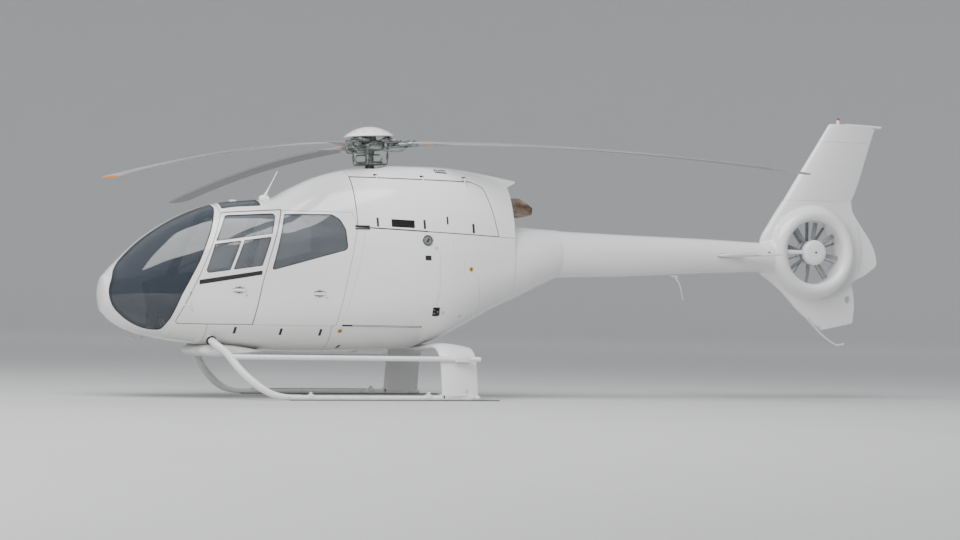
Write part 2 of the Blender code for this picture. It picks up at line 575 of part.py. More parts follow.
for side, sign in SIDES:
    low, high = (-OUT, 0.0) if sign < 0 else (0.0, OUT)
    hinge_line = add_empty(f"cowl_hinge_{side}", (0.5, sign * COWL_HINGE_Y, COWL_HINGE_Z), floor_level)
    outline = region(f"cowl_door_outline_{side}", COWL_DOOR, "XZ", low, high)
    door = panel(f"cowl_door_{side}", [outline], [cowl_space], parent=hinge_line)
    for number, x in enumerate((-0.048, 0.501, 1.000)):
        feet = [Vector((x, sign * y, top_at(x, y) - COWL_HINGE_DEPTH)) for y in COWL_HINGE_FEET]
        hinge(f"cowl_door_{side}_{number}", Vector((x, sign * COWL_HINGE_Y, COWL_HINGE_Z)),
              Vector((1.0, 0.0, 0.0)), cowl_spine, feet[0], door, feet[1])

# Engine and main gearbox on the deck, and the exhaust
deck_space = region("deck_space", (
    (-0.6, SEAM_FRONT[1]), SEAM_FRONT, SEAM_REAR, (1.9, SEAM_REAR[1]), (1.9, 1.5), (-0.6, 1.5)), grow=FIT_GAP)
engine = block("engine", (0.520, -0.250, 1.780), (1.330, 0.250, 2.330), 0.03)
finish(boolean(engine, "DIFFERENCE", deck_space), "cast_metal")
gearbox = turned("main_gearbox", ((0.0, -0.700), (0.26, -0.700), (0.26, -0.380), (0.20, -0.260), (0.13, -0.160),
                                  (0.11, 0.0), (0.0, 0.0)))
gearbox.data.transform(Matrix.Translation(MAST_FOOT) @ Matrix.Rotation(-MAST_TILT, 4, "Y"))
finish(boolean(gearbox, "DIFFERENCE", deck_space), "cast_metal")
exhaust = turned("exhaust_pipe", ((EXHAUST_RADIUS - 0.008, 0.0), (EXHAUST_RADIUS, 0.0), (EXHAUST_RADIUS, 0.60),
                                  (EXHAUST_RADIUS - 0.008, 0.60)))
exhaust.data.transform(Matrix.Translation((1.3303, 0.0, 2.180)) @ Matrix.Rotation(math.radians(90), 4, "Y"))
exhaust_end = region("exhaust_end", ((1.770, 2.6), (1.770, 2.310), (2.010, 2.120), (1.760, 2.060), (1.5, 2.0),
                                     (1.2, 2.0), (1.2, 2.6)), "XZ", -0.3, 0.3)
finish(boolean(exhaust, "INTERSECT", exhaust_end), "burnt_steel")

# Seats and instrument panel
ON_FLOOR = FLOOR_HEIGHT + FIT_GAP
SEAT_Y = 0.350
SEAT_HALF_WIDTH = 0.230
for side, sign in SIDES:
    seat = plate(f"front_seat_{side}", rounded((
        (-1.960, 0.900, 0.03), (-1.900, 0.900, 0.02), (-1.880, ON_FLOOR), (-1.420, ON_FLOOR),
        (-1.400, 1.050, 0.05), (-1.220, 1.840, 0.05), (-1.330, 1.860, 0.05), (-1.500, 1.170, 0.08),
        (-1.960, 1.190, 0.05))), "XZ", sign * SEAT_Y - SEAT_HALF_WIDTH, sign * SEAT_Y + SEAT_HALF_WIDTH)
    finish(seat, "seat_cloth")
bench = plate("rear_bench", rounded((
    (-0.960, ON_FLOOR), (BULKHEAD_X - FIT_GAP, ON_FLOOR), (BULKHEAD_X - FIT_GAP, 1.640, 0.03),
    (-0.500, 1.640, 0.05), (-0.560, 1.140, 0.06), (-0.980, 1.150, 0.05))), "XZ", -0.600, 0.600)
finish(bench, "seat_cloth")
console = plate("instrument_panel", rounded((
    (-2.440, 0.500), (-2.280, 0.500), (-2.200, 0.980, 0.02), (-2.330, 1.060, 0.02), (-2.270, 1.300, 0.02),
    (-2.340, 1.330, 0.02), (-2.560, 1.250, 0.03), (-2.500, 0.980, 0.03))), "XZ", -0.150, 0.150)
boolean(console, "INTERSECT", body_inside_nose)
finish(console, "dark_trim")

# Load hook plate under the mast
hook_plate = block("load_hook_plate", (-0.150, -0.120, HOOK_PLATE_HEIGHT), (0.150, 0.120, 0.600))
finish(boolean(hook_plate, "DIFFERENCE", body_with_gap), "skid_paint")

# Tail cone and tail boom
CONE_SECTIONS = (
    # x, half width, lowest, height of greatest width, highest, fullness below, fullness above
    (CONE_X, 0.458, 1.083, 1.500, 1.985, 2.0, 2.3),
    (1.800, 0.405, 1.172, 1.545, 1.968, 2.0, 2.2),
    (2.020, 0.345, 1.279, 1.605, 1.952, 2.0, 2.1),
    (BOOM_X - FIT_GAP, 0.285, 1.385, 1.662, 1.940, 2.0, 2.0),
)
BOOM_SECTIONS = (
    (BOOM_X, 0.278, 1.392, 1.662, 1.932, 2.0, 2.0),
    (3.070, 0.245, 1.420, 1.665, 1.910, 2.0, 2.0),
    (4.360, 0.200, 1.490, 1.685, 1.880, 2.0, 2.0),
    (FIN_X - FIT_GAP, 0.175, 1.510, 1.685, 1.860, 2.0, 2.0),
)
finish(loft("tail_cone", [oval_ring(*row, points=28) for row in CONE_SECTIONS]), "white_paint")
boom = loft("tail_boom", [oval_ring(*row, points=28) for row in BOOM_SECTIONS])


def wing_section(chord, thickness, steps=7):
    """An aerofoil's outline as (along the chord from its leading edge, across)."""
    upper = []
    for index in range(steps + 1):
        share = (index / steps) ** 1.6
        across = 5.0 * thickness * (0.2969 * math.sqrt(share) - 0.126 * share - 0.3516 * share ** 2
                                    + 0.2843 * share ** 3 - 0.1015 * share ** 4)
        upper.append((share * chord, across))
    return upper + [(along, -across) for along, across in reversed(upper[1:])]


# Stabiliser right through the boom
STABILISER_SPAN = 2.600
STABILISER_Z = 1.690
STABILISER_LEADING_X = 4.240
STABILISER_CHORD = 0.340
STABILISER_THICKNESS = 0.045


def stabiliser_form(name, extra=0.0):
    rings = []
    for y in (-STABILISER_SPAN / 2.0, STABILISER_SPAN / 2.0):
        section = wing_section(STABILISER_CHORD + 2 * extra, STABILISER_THICKNESS + 2 * extra)
        rings.append([(STABILISER_LEADING_X - extra + along, y, STABILISER_Z + across)
                      for along, across in section])
    return loft(name, rings)


finish(stabiliser_form("stabiliser"), "white_paint")
stabiliser_slot = as_cutter(stabiliser_form("stabiliser_slot", 0.0005))
finish(boolean(boom, "DIFFERENCE", stabiliser_slot), "white_paint")

# Fin and fan housing: one upright aerofoil, cut into the housing, the upper fin and its cap
FIN_SECTIONS = (
    # height, leading x, trailing x, thickness
    (0.780, 5.800, 6.170, 0.050),
    (1.020, 5.460, 6.170, 0.085),
    (1.310, 5.160, 6.150, 0.130),
    (1.385, 5.060, 6.130, 0.150),
    (1.520, FIN_X + 0.015, 6.345, 0.190),
    (1.640, FIN_X + 0.015, 6.470, 0.200),
    (1.720, FIN_X + 0.015, 6.460, 0.200),
    (1.905, FIN_X + 0.030, 6.385, 0.190),
    (2.090, 5.015, 6.250, 0.175),
    (2.290, 5.145, 6.125, 0.160),
    (2.370, 5.200, 6.115, 0.155),
    (2.450, 5.250, 6.150, 0.150),
    (3.100, 5.670, 6.370, 0.105),
    (3.400, 5.862, 6.472, 0.085),
)
FIN_OUTLINE = (
    (4.700, 1.2), (5.160, 1.2), (5.760, 0.835, 0.03), (6.150, 0.915, 0.04), (6.200, 1.380), (6.600, 1.4),
    (6.600, 3.0), (6.435, 3.310, 0.02), (5.808, 3.318, 0.06), (5.236, 2.450), (4.700, 2.0))
UPPER_FIN_Z = 2.380
CAP_Z = 3.100


def fin_form(name):
    rings = []
    for height, leading, trailing, thickness in FIN_SECTIONS:
        section = wing_section(trailing - leading, thickness)
        rings.append([(leading + along, across, height) for along, across in section])
    return loft(name, rings)


LIP_RADIUS = 0.450       # crest of the duct's rounded lip
LIP_HEIGHT = 0.195       # of the crest, from the middle plane
MOUTH_HEIGHT = 0.115     # where the straight bore ends
RING_RADIUS = 0.570
RING_EDGE = 0.020        # half the ring's thickness at its outer edge


def ring_profile(steps=4):
    """The duct's wall: straight inside, with a wide rounded lip on both faces."""
    half = []
    for step in range(steps + 1):
        angle = math.pi / 2 * step / steps
        half.append((LIP_RADIUS - (LIP_RADIUS - DUCT_RADIUS) * math.cos(angle),
                     MOUTH_HEIGHT + (LIP_HEIGHT - MOUTH_HEIGHT) * math.sin(angle)))
    for step in range(1, steps + 1):
        angle = math.pi / 2 * step / steps
        half.append((LIP_RADIUS + (RING_RADIUS - LIP_RADIUS) * math.sin(angle),
                     RING_EDGE + (LIP_HEIGHT - RING_EDGE) * math.cos(angle)))
    return half + [(radius, -across) for radius, across in reversed(half)]


fin_outline = as_cutter(plate("fin_outline", rounded(FIN_OUTLINE), "XZ", -0.4, 0.4))
ring_seat = as_cutter(cylinder("ring_seat", (DUCT_RADIUS + LIP_RADIUS) / 2.0, -0.4, 0.4, "Y", FAN_CENTRE,
                               DUCT_SIDES))
housing = fin_form("fan_housing")
boolean(housing, "INTERSECT", fin_outline)
housing_range = as_cutter(block("housing_range", (4.0, -1.0, 0.5), (7.0, 1.0, UPPER_FIN_Z - FIT_GAP)))
boolean(housing, "INTERSECT", housing_range)
shoulder = as_cutter(loft("boom_shoulder", [oval_ring(*row, points=30) for row in (
    (FIN_X, 0.172, 1.512, 1.685, 1.858, 2.0, 2.0),
    (5.060, 0.158, 1.475, 1.695, 1.915, 2.0, 2.0),
    (5.300, 0.140, 1.430, 1.720, 1.990, 2.0, 2.0))]))
boolean(housing, "UNION", shoulder)
boolean(housing, "DIFFERENCE", ring_seat)
duct_ring = as_cutter(turned("duct_ring", ring_profile(), "Y", FAN_CENTRE, DUCT_SIDES))
boolean(housing, "UNION", duct_ring)
tail_hole = as_cutter(cylinder("tail_hole", 0.045, -0.3, 0.3, "Y", (6.080, 0.0, 1.200), 16))
boolean(housing, "DIFFERENCE", tail_hole)

# Tail skid, its front end let into the lower fin
TAIL_SKID_RADIUS = 0.012
tail_skid_path = [Vector((5.470, 0.0, 1.030)), Vector((5.900, 0.0, 0.672)), Vector((5.960, 0.0, 0.645)),
                  Vector((6.050, 0.0, 0.662))]
finish(tube("tail_skid", tail_skid_path, TAIL_SKID_RADIUS), "skid_paint")
backwards = (tail_skid_path[0] - tail_skid_path[1]).normalized()
tail_skid_space = tube("tail_skid_space", [tail_skid_path[0] + backwards * FIT_GAP] + tail_skid_path[1:],
                       TAIL_SKID_RADIUS + FIT_GAP)
boolean(housing, "DIFFERENCE", as_cutter(tail_skid_space))
finish(housing, "white_paint")
tail_light = as_cutter(tube("tail_light", [(6.020, 0.0, 3.318), (6.520, 0.0, 3.298)], 0.016))
beacon = as_cutter(cylinder("beacon", 0.030, 3.300, 3.400, "Z", (5.930, 0.0, 0.0), 12, 0.018))
for name, low, high, lamps in (("upper_fin", UPPER_FIN_Z, CAP_Z - FIT_GAP, ()),
                               ("fin_cap", CAP_Z, 3.6, (tail_light, beacon))):
    piece = fin_form(name)
    boolean(piece, "INTERSECT", fin_outline)
    boolean(piece, "INTERSECT", as_cutter(block(f"{name}_range", (4.0, -1.0, low), (7.0, 1.0, high))))
    for lamp in lamps:
        boolean(piece, "UNION", lamp)
    finish(piece, "white_paint")

# Tail fan: the gearbox fairing and its vanes are fixed, the bladed wheel turns between them
FAN_LOW, FAN_HIGH = -0.070, 0.010      # the wheel's place across the duct
AXLE_RADIUS = 0.030
BEARING_GAP = 0.0006                   # round the axle, whose sides are flat
cover = turned("fan_vanes", (
    (0.0, -0.165), (0.115, -0.160), (0.150, -0.130), (0.150, -0.078), (AXLE_RADIUS, -0.078),
    (AXLE_RADIUS, 0.018), (0.140, 0.018), (0.140, 0.120), (0.100, 0.170), (0.0, 0.175)), "Y", FAN_CENTRE, 24)
strut = as_cutter(plate("fan_strut", rounded((
    (5.150, 1.715, 0.0), (5.480, 1.728, 0.0), (5.570, 1.756, 0.0), (5.480, 1.784, 0.0), (5.150, 1.797, 0.0))),
    "XZ", -0.145, -0.095))
boolean(cover, "UNION", strut)
for number in range(FAN_VANES):
    bearing = math.radians(360.0 * (number + 0.5) / FAN_VANES)
    vane = block(f"fan_vane_{number}", (0.100, 0.045, -0.009), (0.400, 0.105, 0.009))
    vane.data.transform(Matrix.Translation(FAN_CENTRE) @ Matrix.Rotation(bearing, 4, "Y"))
    boolean(cover, "UNION", as_cutter(vane))
housing_bore = as_cutter(cylinder("housing_bore", DUCT_RADIUS - FIT_GAP, -0.4, 0.4, "Y", FAN_CENTRE, DUCT_SIDES))
boolean(cover, "INTERSECT", housing_bore)
finish(cover, "white_paint")
fan_axis = add_empty("tail_fan_axis", FAN_CENTRE, floor_level)
wheel = turned("tail_fan", ((AXLE_RADIUS + BEARING_GAP, FAN_LOW), (0.145, FAN_LOW), (0.145, FAN_HIGH),
                            (AXLE_RADIUS + BEARING_GAP, FAN_HIGH)), "Y", (0, 0, 0), 24)
for number in range(FAN_BLADES):
    bearing = math.radians(360.0 * number / FAN_BLADES + 10.0)
    rings = []
    for radius, chord, pitch in ((0.120, 0.058, 34.0), (0.245, 0.056, 26.0), (FAN_RADIUS, 0.054, 18.0)):
        section = wing_section(chord, 0.010, 4)
        turn = Matrix.Rotation(math.radians(pitch), 2)
        flat = [turn @ Vector((along - chord * 0.4, across)) for along, across in section]
        rings.append([(radius, (FAN_LOW + FAN_HIGH) / 2.0 + v.y, v.x) for v in flat])
    blade = loft(f"fan_blade_{number}", rings)
    blade.data.transform(Matrix.Rotation(bearing, 4, "Y"))
    as_cutter(blade)
    blade.parent = fan_axis
    boolean(wheel, "UNION", blade)
finish(wheel, "fan_metal")
wheel.parent = fan_axis
wheel.location = (0.0, 0.0, 0.0)

# Main rotor, in the axes of its tilted mast, with the hub's centre at zero
rotor_axis = add_empty("main_rotor_axis", MAST_FOOT + HUB_ABOVE_FOOT * Vector((-math.sin(MAST_TILT), 0.0,
                       math.cos(MAST_TILT))), floor_level, (0.0, -MAST_TILT, 0.0))
SLEEVE_END = 0.560
HUB_LOW, HUB_HIGH = -0.065, 0.055
MAST_LOW = FIT_GAP - HUB_ABOVE_FOOT
mast = turned("rotor_mast", ((0.0, MAST_LOW), (0.075, MAST_LOW), (0.052, -0.270),
                             (0.048, HUB_LOW - FIT_GAP), (0.0, HUB_LOW - FIT_GAP)), sides=20)
finish(mast, "hub_metal", rotor_axis)
hub = turned("rotor_hub", ((0.0, HUB_LOW), (0.140, HUB_LOW), (0.175, -0.030), (0.175, 0.025), (0.120, HUB_HIGH),
                           (0.090, HUB_HIGH), (0.080, 0.090), (0.0, 0.090)), sides=24)
for number, bearing in enumerate(BLADE_BEARINGS):
    turn = Matrix.Rotation(math.radians(bearing), 4, "Z")
    for name, low, high in (("arm", (0.100, -0.055, -0.040), (0.420, 0.055, 0.040)),
                            ("sleeve", (0.380, -0.042, -0.034), (SLEEVE_END, 0.042, 0.034)),
                            ("horn", (0.230, 0.050, -0.025), (0.270, 0.150, 0.000))):
        piece = block(f"hub_{name}_{number}", low, high, 0.008)
        piece.data.transform(turn)
        as_cutter(piece)
        piece.parent = rotor_axis
        boolean(hub, "UNION", piece)
finish(hub, "hub_metal", rotor_axis)
cap_profile = [(0.0, 0.0903), (0.250, 0.0903)]
for step in range(6):
    angle = math.radians(90.0 * step / 5)
    cap_profile.append((0.290 * math.cos(angle), 0.100 + 0.110 * math.sin(angle)))
finish(turned("hub_cap", cap_profile[:-1] + [(0.0, 0.210)], sides=32), "white_paint", rotor_axis)
plate_ring = turned("swashplate", ((0.052, -0.225), (0.150, -0.225), (0.150, -0.185), (0.052, -0.185)), sides=24)
for number, bearing in enumerate(BLADE_BEARINGS):
    link = tube(f"pitch_link_{number}", [(0.140, 0.0, -0.215), (0.215, 0.0, -0.215), (0.230, 0.0, -0.0253)],
                0.011)
    link.data.transform(Matrix.Rotation(math.radians(bearing + 24.0), 4, "Z"))
    as_cutter(link)
    link.parent = rotor_axis
    boolean(plate_ring, "UNION", link)
finish(plate_ring, "hub_metal", rotor_axis)

BLADE_STATIONS = (
    # radius, chord, thickness, pitch in degrees
    (SLEEVE_END + FIT_GAP, 0.070, 0.060, 0.0),
    (0.700, 0.080, 0.050, 0.0),
    (0.820, 0.130, 0.042, 4.0),
    (0.960, 0.250, 0.034, 8.0),
    (1.200, BLADE_CHORD, 0.032, 8.0),
    (2.200, BLADE_CHORD, 0.031, 6.0),
    (3.200, BLADE_CHORD, 0.030, 4.0),
    (4.200, BLADE_CHORD, 0.030, 2.0),
    (4.850, BLADE_CHORD, 0.028, 0.5),
    (ROTOR_RADIUS, 0.190, 0.018, 0.0),
)
for number, bearing in enumerate(BLADE_BEARINGS):
    rings = []
    for radius, chord, thickness, pitch in BLADE_STATIONS:
        share = max(0.0, (radius - SLEEVE_END) / (ROTOR_RADIUS - SLEEVE_END))
        sag = BLADE_DROOP * share ** 1.7
        turn = Matrix.Rotation(math.radians(-pitch), 2)
        section = wing_section(chord, thickness, 6)
        flat = [turn @ Vector((along - chord * 0.3, across)) for along, across in section]
        rings.append([(radius, -v.x, v.y - sag) for v in flat])
    blade = loft(f"rotor_blade_{number + 1}", rings)
    blade.data.transform(Matrix.Rotation(math.radians(bearing), 4, "Z"))
    finish(blade, "blade_grey", rotor_axis)

# Landing gear: skids with their bent front legs, the rear legs in one arch, steps and the front fairing
FRONT_LEG = (
    # x, y, height, share of the front leg's radius
    (-1.930, 0.400, 0.680, 1.0), (-1.940, 0.520, 0.645, 1.0), (-1.910, 0.610, 0.590, 1.0),
    (-1.820, 0.705, 0.510, 1.0), (-1.700, 0.830, 0.335, 1.0), (-1.590, 0.915, 0.215, 1.0),
    (-1.480, 0.980, 0.125, 0.96), (-1.370, 1.018, 0.066, 0.85), (-1.240, SKID_Y, 0.040, 0.72),
    (-1.120, SKID_Y, SKID_CENTRE_Z, 0.69), (0.980, SKID_Y, SKID_CENTRE_Z, 0.69),
)
FRONT_LEG_RADIUS = 0.042
leg_spaces = []
for side, sign in SIDES:
    path = [(x, sign * y, z) for x, y, z, share in FRONT_LEG]
    shares = [row[3] for row in FRONT_LEG]
    leg_spaces.append(as_cutter(tube(f"skid_space_{side}", path, FRONT_LEG_RADIUS + FIT_GAP, shares)))
    skid = tube(f"skid_{side}", path, FRONT_LEG_RADIUS, shares)
    shoe = as_cutter(block(f"skid_shoe_{side}", (-1.180, sign * SKID_Y - 0.022, 0.0),
                           (1.210, sign * SKID_Y + 0.022, 0.012)))
    boolean(skid, "UNION", shoe)
    boolean(skid, "DIFFERENCE", body_with_gap)
    finish(skid, "skid_paint")

LEG_PATH = (
    # y, height of the arch's middle line
    (0.000, 0.560), (0.400, 0.575), (0.660, 0.585), (0.800, 0.565), (0.905, 0.500), (0.965, 0.400),
    (1.000, 0.250), (1.025, 0.120), (1.035, 0.050),
)
LEG_LEADING_X, LEG_CHORD, LEG_THICKNESS = 0.540, 0.420, 0.085


def leg_arch(name, extra=0.0):
    line = [Vector((-y, z)) for y, z in reversed(LEG_PATH[1:])] + [Vector(row) for row in LEG_PATH]
    rings = []
    for index, here in enumerate(line):
        before, after = line[max(index - 1, 0)], line[min(index + 1, len(line) - 1)]
        along = (after - before).normalized()
        normal = Vector((-along.y, along.x))
        section = wing_section(LEG_CHORD + 2 * extra, LEG_THICKNESS + 2 * extra)
        rings.append([(LEG_LEADING_X - extra + x, (here + normal * across).x, (here + normal * across).y)
                      for x, across in section])
    return loft(name, rings)


legs = leg_arch("rear_legs")
for cutter in [body_with_gap] + leg_spaces:
    boolean(legs, "DIFFERENCE", cutter)
finish(legs, "skid_paint")
legs_space = as_cutter(leg_arch("rear_legs_space", FIT_GAP))

STEP_FRONT = Vector((-1.770, 0.780, 0.458))
STEP_REAR = Vector((0.980, 1.045, 0.458))
for (side, sign), leg_space in zip(SIDES, leg_spaces):
    ends = [(end.x, sign * end.y, end.z) for end in (STEP_FRONT, STEP_REAR)]
    step = tube(f"step_rail_{side}", ends, 0.028)
    boolean(step, "DIFFERENCE", leg_space)
    boolean(step, "DIFFERENCE", legs_space)
    finish(step, "skid_paint")

FAIRING_SECTIONS = (
    # y, leading x, trailing x, thickness
    (-0.520, -1.930, -1.430, 0.050), (-0.480, -2.010, -1.350, 0.110), (-0.380, -2.040, -1.320, 0.140),
    (0.380, -2.040, -1.320, 0.140), (0.480, -2.010, -1.350, 0.110), (0.520, -1.930, -1.430, 0.050),
)
rings = []
for y, leading, trailing, thickness in FAIRING_SECTIONS:
    section = wing_section(trailing - leading, thickness)
    rings.append([(leading + along, y, 0.515 + across) for along, across in section])
fairing = loft("front_tube_fairing", rings)
for cutter in [body_with_gap] + leg_spaces:
    boolean(fairing, "DIFFERENCE", cutter)
finish(fairing, "skid_paint")
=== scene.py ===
"""The dressed model of a light five-seat helicopter, in metres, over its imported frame.

X runs aft, Y to starboard, Z up. The tables below give heights above the floor, as the part's source does.
fit() sets each finished piece down by the height of the load hook plate, where the origin is.
"""
import math

import bpy
import numpy as np
from mathutils import Matrix, Vector


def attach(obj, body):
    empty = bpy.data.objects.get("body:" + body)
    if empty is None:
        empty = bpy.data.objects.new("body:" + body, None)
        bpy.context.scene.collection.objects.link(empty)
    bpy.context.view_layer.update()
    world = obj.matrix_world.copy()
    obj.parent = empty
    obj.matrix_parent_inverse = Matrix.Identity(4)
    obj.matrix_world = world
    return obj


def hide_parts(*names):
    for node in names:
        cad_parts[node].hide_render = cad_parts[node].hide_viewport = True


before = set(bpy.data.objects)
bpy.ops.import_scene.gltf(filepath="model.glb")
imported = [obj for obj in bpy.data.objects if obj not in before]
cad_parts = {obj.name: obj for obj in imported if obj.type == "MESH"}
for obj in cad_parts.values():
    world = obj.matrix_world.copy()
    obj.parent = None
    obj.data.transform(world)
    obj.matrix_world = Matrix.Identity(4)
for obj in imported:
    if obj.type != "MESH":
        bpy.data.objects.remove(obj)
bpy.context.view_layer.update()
bpy.ops.object.select_all(action="DESELECT")

# The camera: on the port side and well forward, one metre above the floor, with a long lens.
# Its place was found from the machine's known sizes.
CAMERA_PLACE = (-8.616, -26.946, 0.502)
CAMERA_YAW, CAMERA_PITCH, CAMERA_ROLL = 0.354, 0.016, 0.016
CAMERA_LENS = 94.05
sight = Vector((math.sin(CAMERA_YAW) * math.cos(CAMERA_PITCH),
    math.cos(CAMERA_YAW) * math.cos(CAMERA_PITCH), math.sin(CAMERA_PITCH)))
level_right = Vector((math.cos(CAMERA_YAW), -math.sin(CAMERA_YAW), 0.0))
level_up = level_right.cross(sight)
right = level_right * math.cos(CAMERA_ROLL) + level_up * math.sin(CAMERA_ROLL)
up = level_up * math.cos(CAMERA_ROLL) - level_right * math.sin(CAMERA_ROLL)
turned_axes = Matrix((right, up, -sight)).transposed().to_4x4()
bpy.ops.object.camera_add()
camera = bpy.context.object
camera.name = "camera"
camera.matrix_world = Matrix.Translation(CAMERA_PLACE) @ turned_axes
camera.data.lens = CAMERA_LENS
camera.data.sensor_width = 36.0
camera.data.clip_end = 300.0
bpy.context.scene.camera = camera

# The studio: a pale floor that curves up into a pale wall all round, far behind the machine.
# It is painted matt, and lit softly from above with one broad light to the front left.
HOOK_PLATE_HEIGHT = 0.500
SET_DOWN = Matrix.Translation((0.0, 0.0, -HOOK_PLATE_HEIGHT))


class Wire:
    """A shader socket that can be used in sums."""

    def __init__(self, tree, socket):
        self.tree, self.socket = tree, socket

    def sum(self, operation, *values):
        return self.tree.node("ShaderNodeMath", dict(operation=operation), *values)

    def __add__(self, other):
        return self.sum("ADD", self, other)

    def __radd__(self, other):
        return self.sum("ADD", other, self)

    def __sub__(self, other):
        return self.sum("SUBTRACT", self, other)

    def __rsub__(self, other):
        return self.sum("SUBTRACT", other, self)

    def __mul__(self, other):
        return self.sum("MULTIPLY", self, other)

    def __rmul__(self, other):
        return self.sum("MULTIPLY", other, self)

    def __truediv__(self, other):
        return self.sum("DIVIDE", self, other)

    def __gt__(self, other):
        return self.sum("GREATER_THAN", self, other)

    def __lt__(self, other):
        return self.sum("LESS_THAN", self, other)

    def __abs__(self):
        return self.sum("ABSOLUTE", self)

    def ramp(self, low, high):
        """0 below low, 1 above high, smooth between."""
        return self.tree.node("ShaderNodeMapRange", dict(interpolation_type="SMOOTHSTEP"), self, low, high)


class Finish:
    """A material for one slot, whose nodes are added one by one; it starts with one Principled shader."""

    def __init__(self, name, slot, colour, roughness, metallic=0.0, **fixed):
        self.slot = slot
        self.material = bpy.data.materials.new(name)
        self.material.use_nodes = True
        self.tree = self.material.node_tree
        self.shader = self.tree.nodes["Principled BSDF"]
        self.shader.inputs["Base Color"].default_value = (*colour, 1.0)
        self.shader.inputs["Roughness"].default_value = roughness
        self.shader.inputs["Metallic"].default_value = metallic
        for socket, value in fixed.items():
            self.shader.inputs[socket.replace("_", " ")].default_value = value
        self.material.diffuse_color = (*colour, 1.0)

    def node(self, kind, settings=None, *values, out=0, **named):
        node = self.tree.nodes.new(kind)
        for setting, value in (settings or {}).items():
            setattr(node, setting, value)
        pairs = list(zip(node.inputs, values)) + [(node.inputs[key.replace("_", " ")], value)
            for key, value in named.items()]
        for socket, value in pairs:
            if isinstance(value, Wire):
                self.tree.links.new(value.socket, socket)
            elif value is not None:
                socket.default_value = value
        return Wire(self, node.outputs[out])

    def place(self, x=1.0, y=1.0, z=1.0):
        """Object coordinates, stretched."""
        here = self.node("ShaderNodeTexCoord", None, out=3)
        return self.node("ShaderNodeMapping", None, here, Scale=(x, y, z))

    def axis(self, letter):
        return self.node("ShaderNodeSeparateXYZ", None, self.place(), out="XYZ".index(letter))

    def noise(self, scale, detail=3.0, stretch=(1.0, 1.0, 1.0), rough=0.55):
        return self.node("ShaderNodeTexNoise", None, self.place(*stretch), Scale=scale, Detail=detail,
            Roughness=rough)

    def mix(self, share, first, second):
        """From the first colour to the second as share goes from 0 to 1."""
        node = self.tree.nodes.new("ShaderNodeMix")
        node.data_type = "RGBA"
        for socket, value in ((node.inputs[0], share), (node.inputs[6], first), (node.inputs[7], second)):
            if isinstance(value, Wire):
                self.tree.links.new(value.socket, socket)
            else:
                socket.default_value = (*value, 1.0) if isinstance(value, tuple) else value
        return Wire(self, node.outputs[2])

    def set(self, socket, wire):
        self.tree.links.new(wire.socket, self.shader.inputs[socket])

    def paint(self, share, first, second):
        """A base colour that goes from the first to the second with share."""
        self.set("Base Color", self.mix(share, first, second))

    def roughen(self, lowest, spread, *noise):
        """A roughness that follows a noise, from its lowest value up by spread."""
        self.set("Roughness", self.noise(*noise) * spread + lowest)

    def bump(self, height, distance, strength=1.0):
        self.set("Normal", self.node("ShaderNodeBump", None, Strength=strength, Distance=distance,
            Height=height))


def circle_mesh(name, points):
    """A flat face with any outline: a filled circle whose corners are moved to the outline's points."""
    bpy.ops.mesh.primitive_circle_add(vertices=len(points), fill_type="NGON")
    obj = bpy.context.object
    obj.name = name
    obj.data.vertices.foreach_set("co", [value for point in points for value in point])
    return obj


SELECT_ALL = (bpy.ops.mesh.select_all, dict(action="SELECT"))
OUTWARDS = (SELECT_ALL, (bpy.ops.mesh.normals_make_consistent, dict(inside=False)))


def edit(obj, *steps):
    """Runs edit mode operators on the whole of a piece."""
    bpy.context.view_layer.objects.active = obj
    bpy.ops.object.mode_set(mode="EDIT")
    bpy.ops.mesh.select_all(action="SELECT")
    for operator, settings in steps:
        operator(**settings)
    bpy.ops.object.mode_set(mode="OBJECT")
    return obj


def turned(name, profile, axis="Z", centre=(0.0, 0.0, 0.0), steps=64):
    """A profile of (radius, height) spun once round an axis."""
    points = [(radius, 0.0, height) for radius, height in profile]
    obj = circle_mesh(name, points)
    edit(obj, (bpy.ops.mesh.delete, dict(type="ONLY_FACE")), SELECT_ALL,
        (bpy.ops.mesh.spin, dict(steps=steps, angle=2 * math.pi, center=(0, 0, 0), axis=(0, 0, 1))),
        SELECT_ALL, (bpy.ops.mesh.remove_doubles, dict(threshold=0.00005)), *OUTWARDS)
    turn = {"Z": Matrix(), "Y": Matrix.Rotation(-math.pi / 2, 4, "X"),
        "X": Matrix.Rotation(math.pi / 2, 4, "Y")}
    obj.data.transform(Matrix.Translation(centre) @ turn[axis])
    return obj


STUDIO_FLAT, STUDIO_CURVE, STUDIO_TOP = 75.0, 20.0, 60.0
floor_finish = Finish("studio_floor", "", (0.60, 0.60, 0.595), 0.75)
from_middle = floor_finish.node("ShaderNodeVectorMath", dict(operation="LENGTH"), floor_finish.place(),
    out=1)
floor_finish.paint(from_middle.ramp(8.0, 50.0), floor_finish.mix(floor_finish.noise(0.6),
    (0.52, 0.52, 0.515), (0.56, 0.56, 0.555)), (0.78, 0.78, 0.775))
wall_curve = [(STUDIO_FLAT + STUDIO_CURVE * math.sin(turn), STUDIO_CURVE - STUDIO_CURVE * math.cos(turn))
    for turn in [math.radians(angle) for angle in range(10, 91, 10)]]
WALL = STUDIO_FLAT + STUDIO_CURVE
studio = turned("studio", [(0.0, 0.0), (STUDIO_FLAT, 0.0), *wall_curve, (WALL, STUDIO_TOP),
    (WALL + 1.0, STUDIO_TOP), (WALL + 1.0, -0.5), (0.0, -0.5)], steps=72)
studio.data.transform(SET_DOWN)
studio.data.materials.append(floor_finish.material)
studio.data.shade_smooth()
studio.data.set_sharp_from_angle(angle=math.radians(40))
world = bpy.data.worlds.new("studio_sky")
world.use_nodes = True
world.node_tree.nodes["Background"].inputs["Color"].default_value = (0.93, 0.96, 1.0, 1.0)
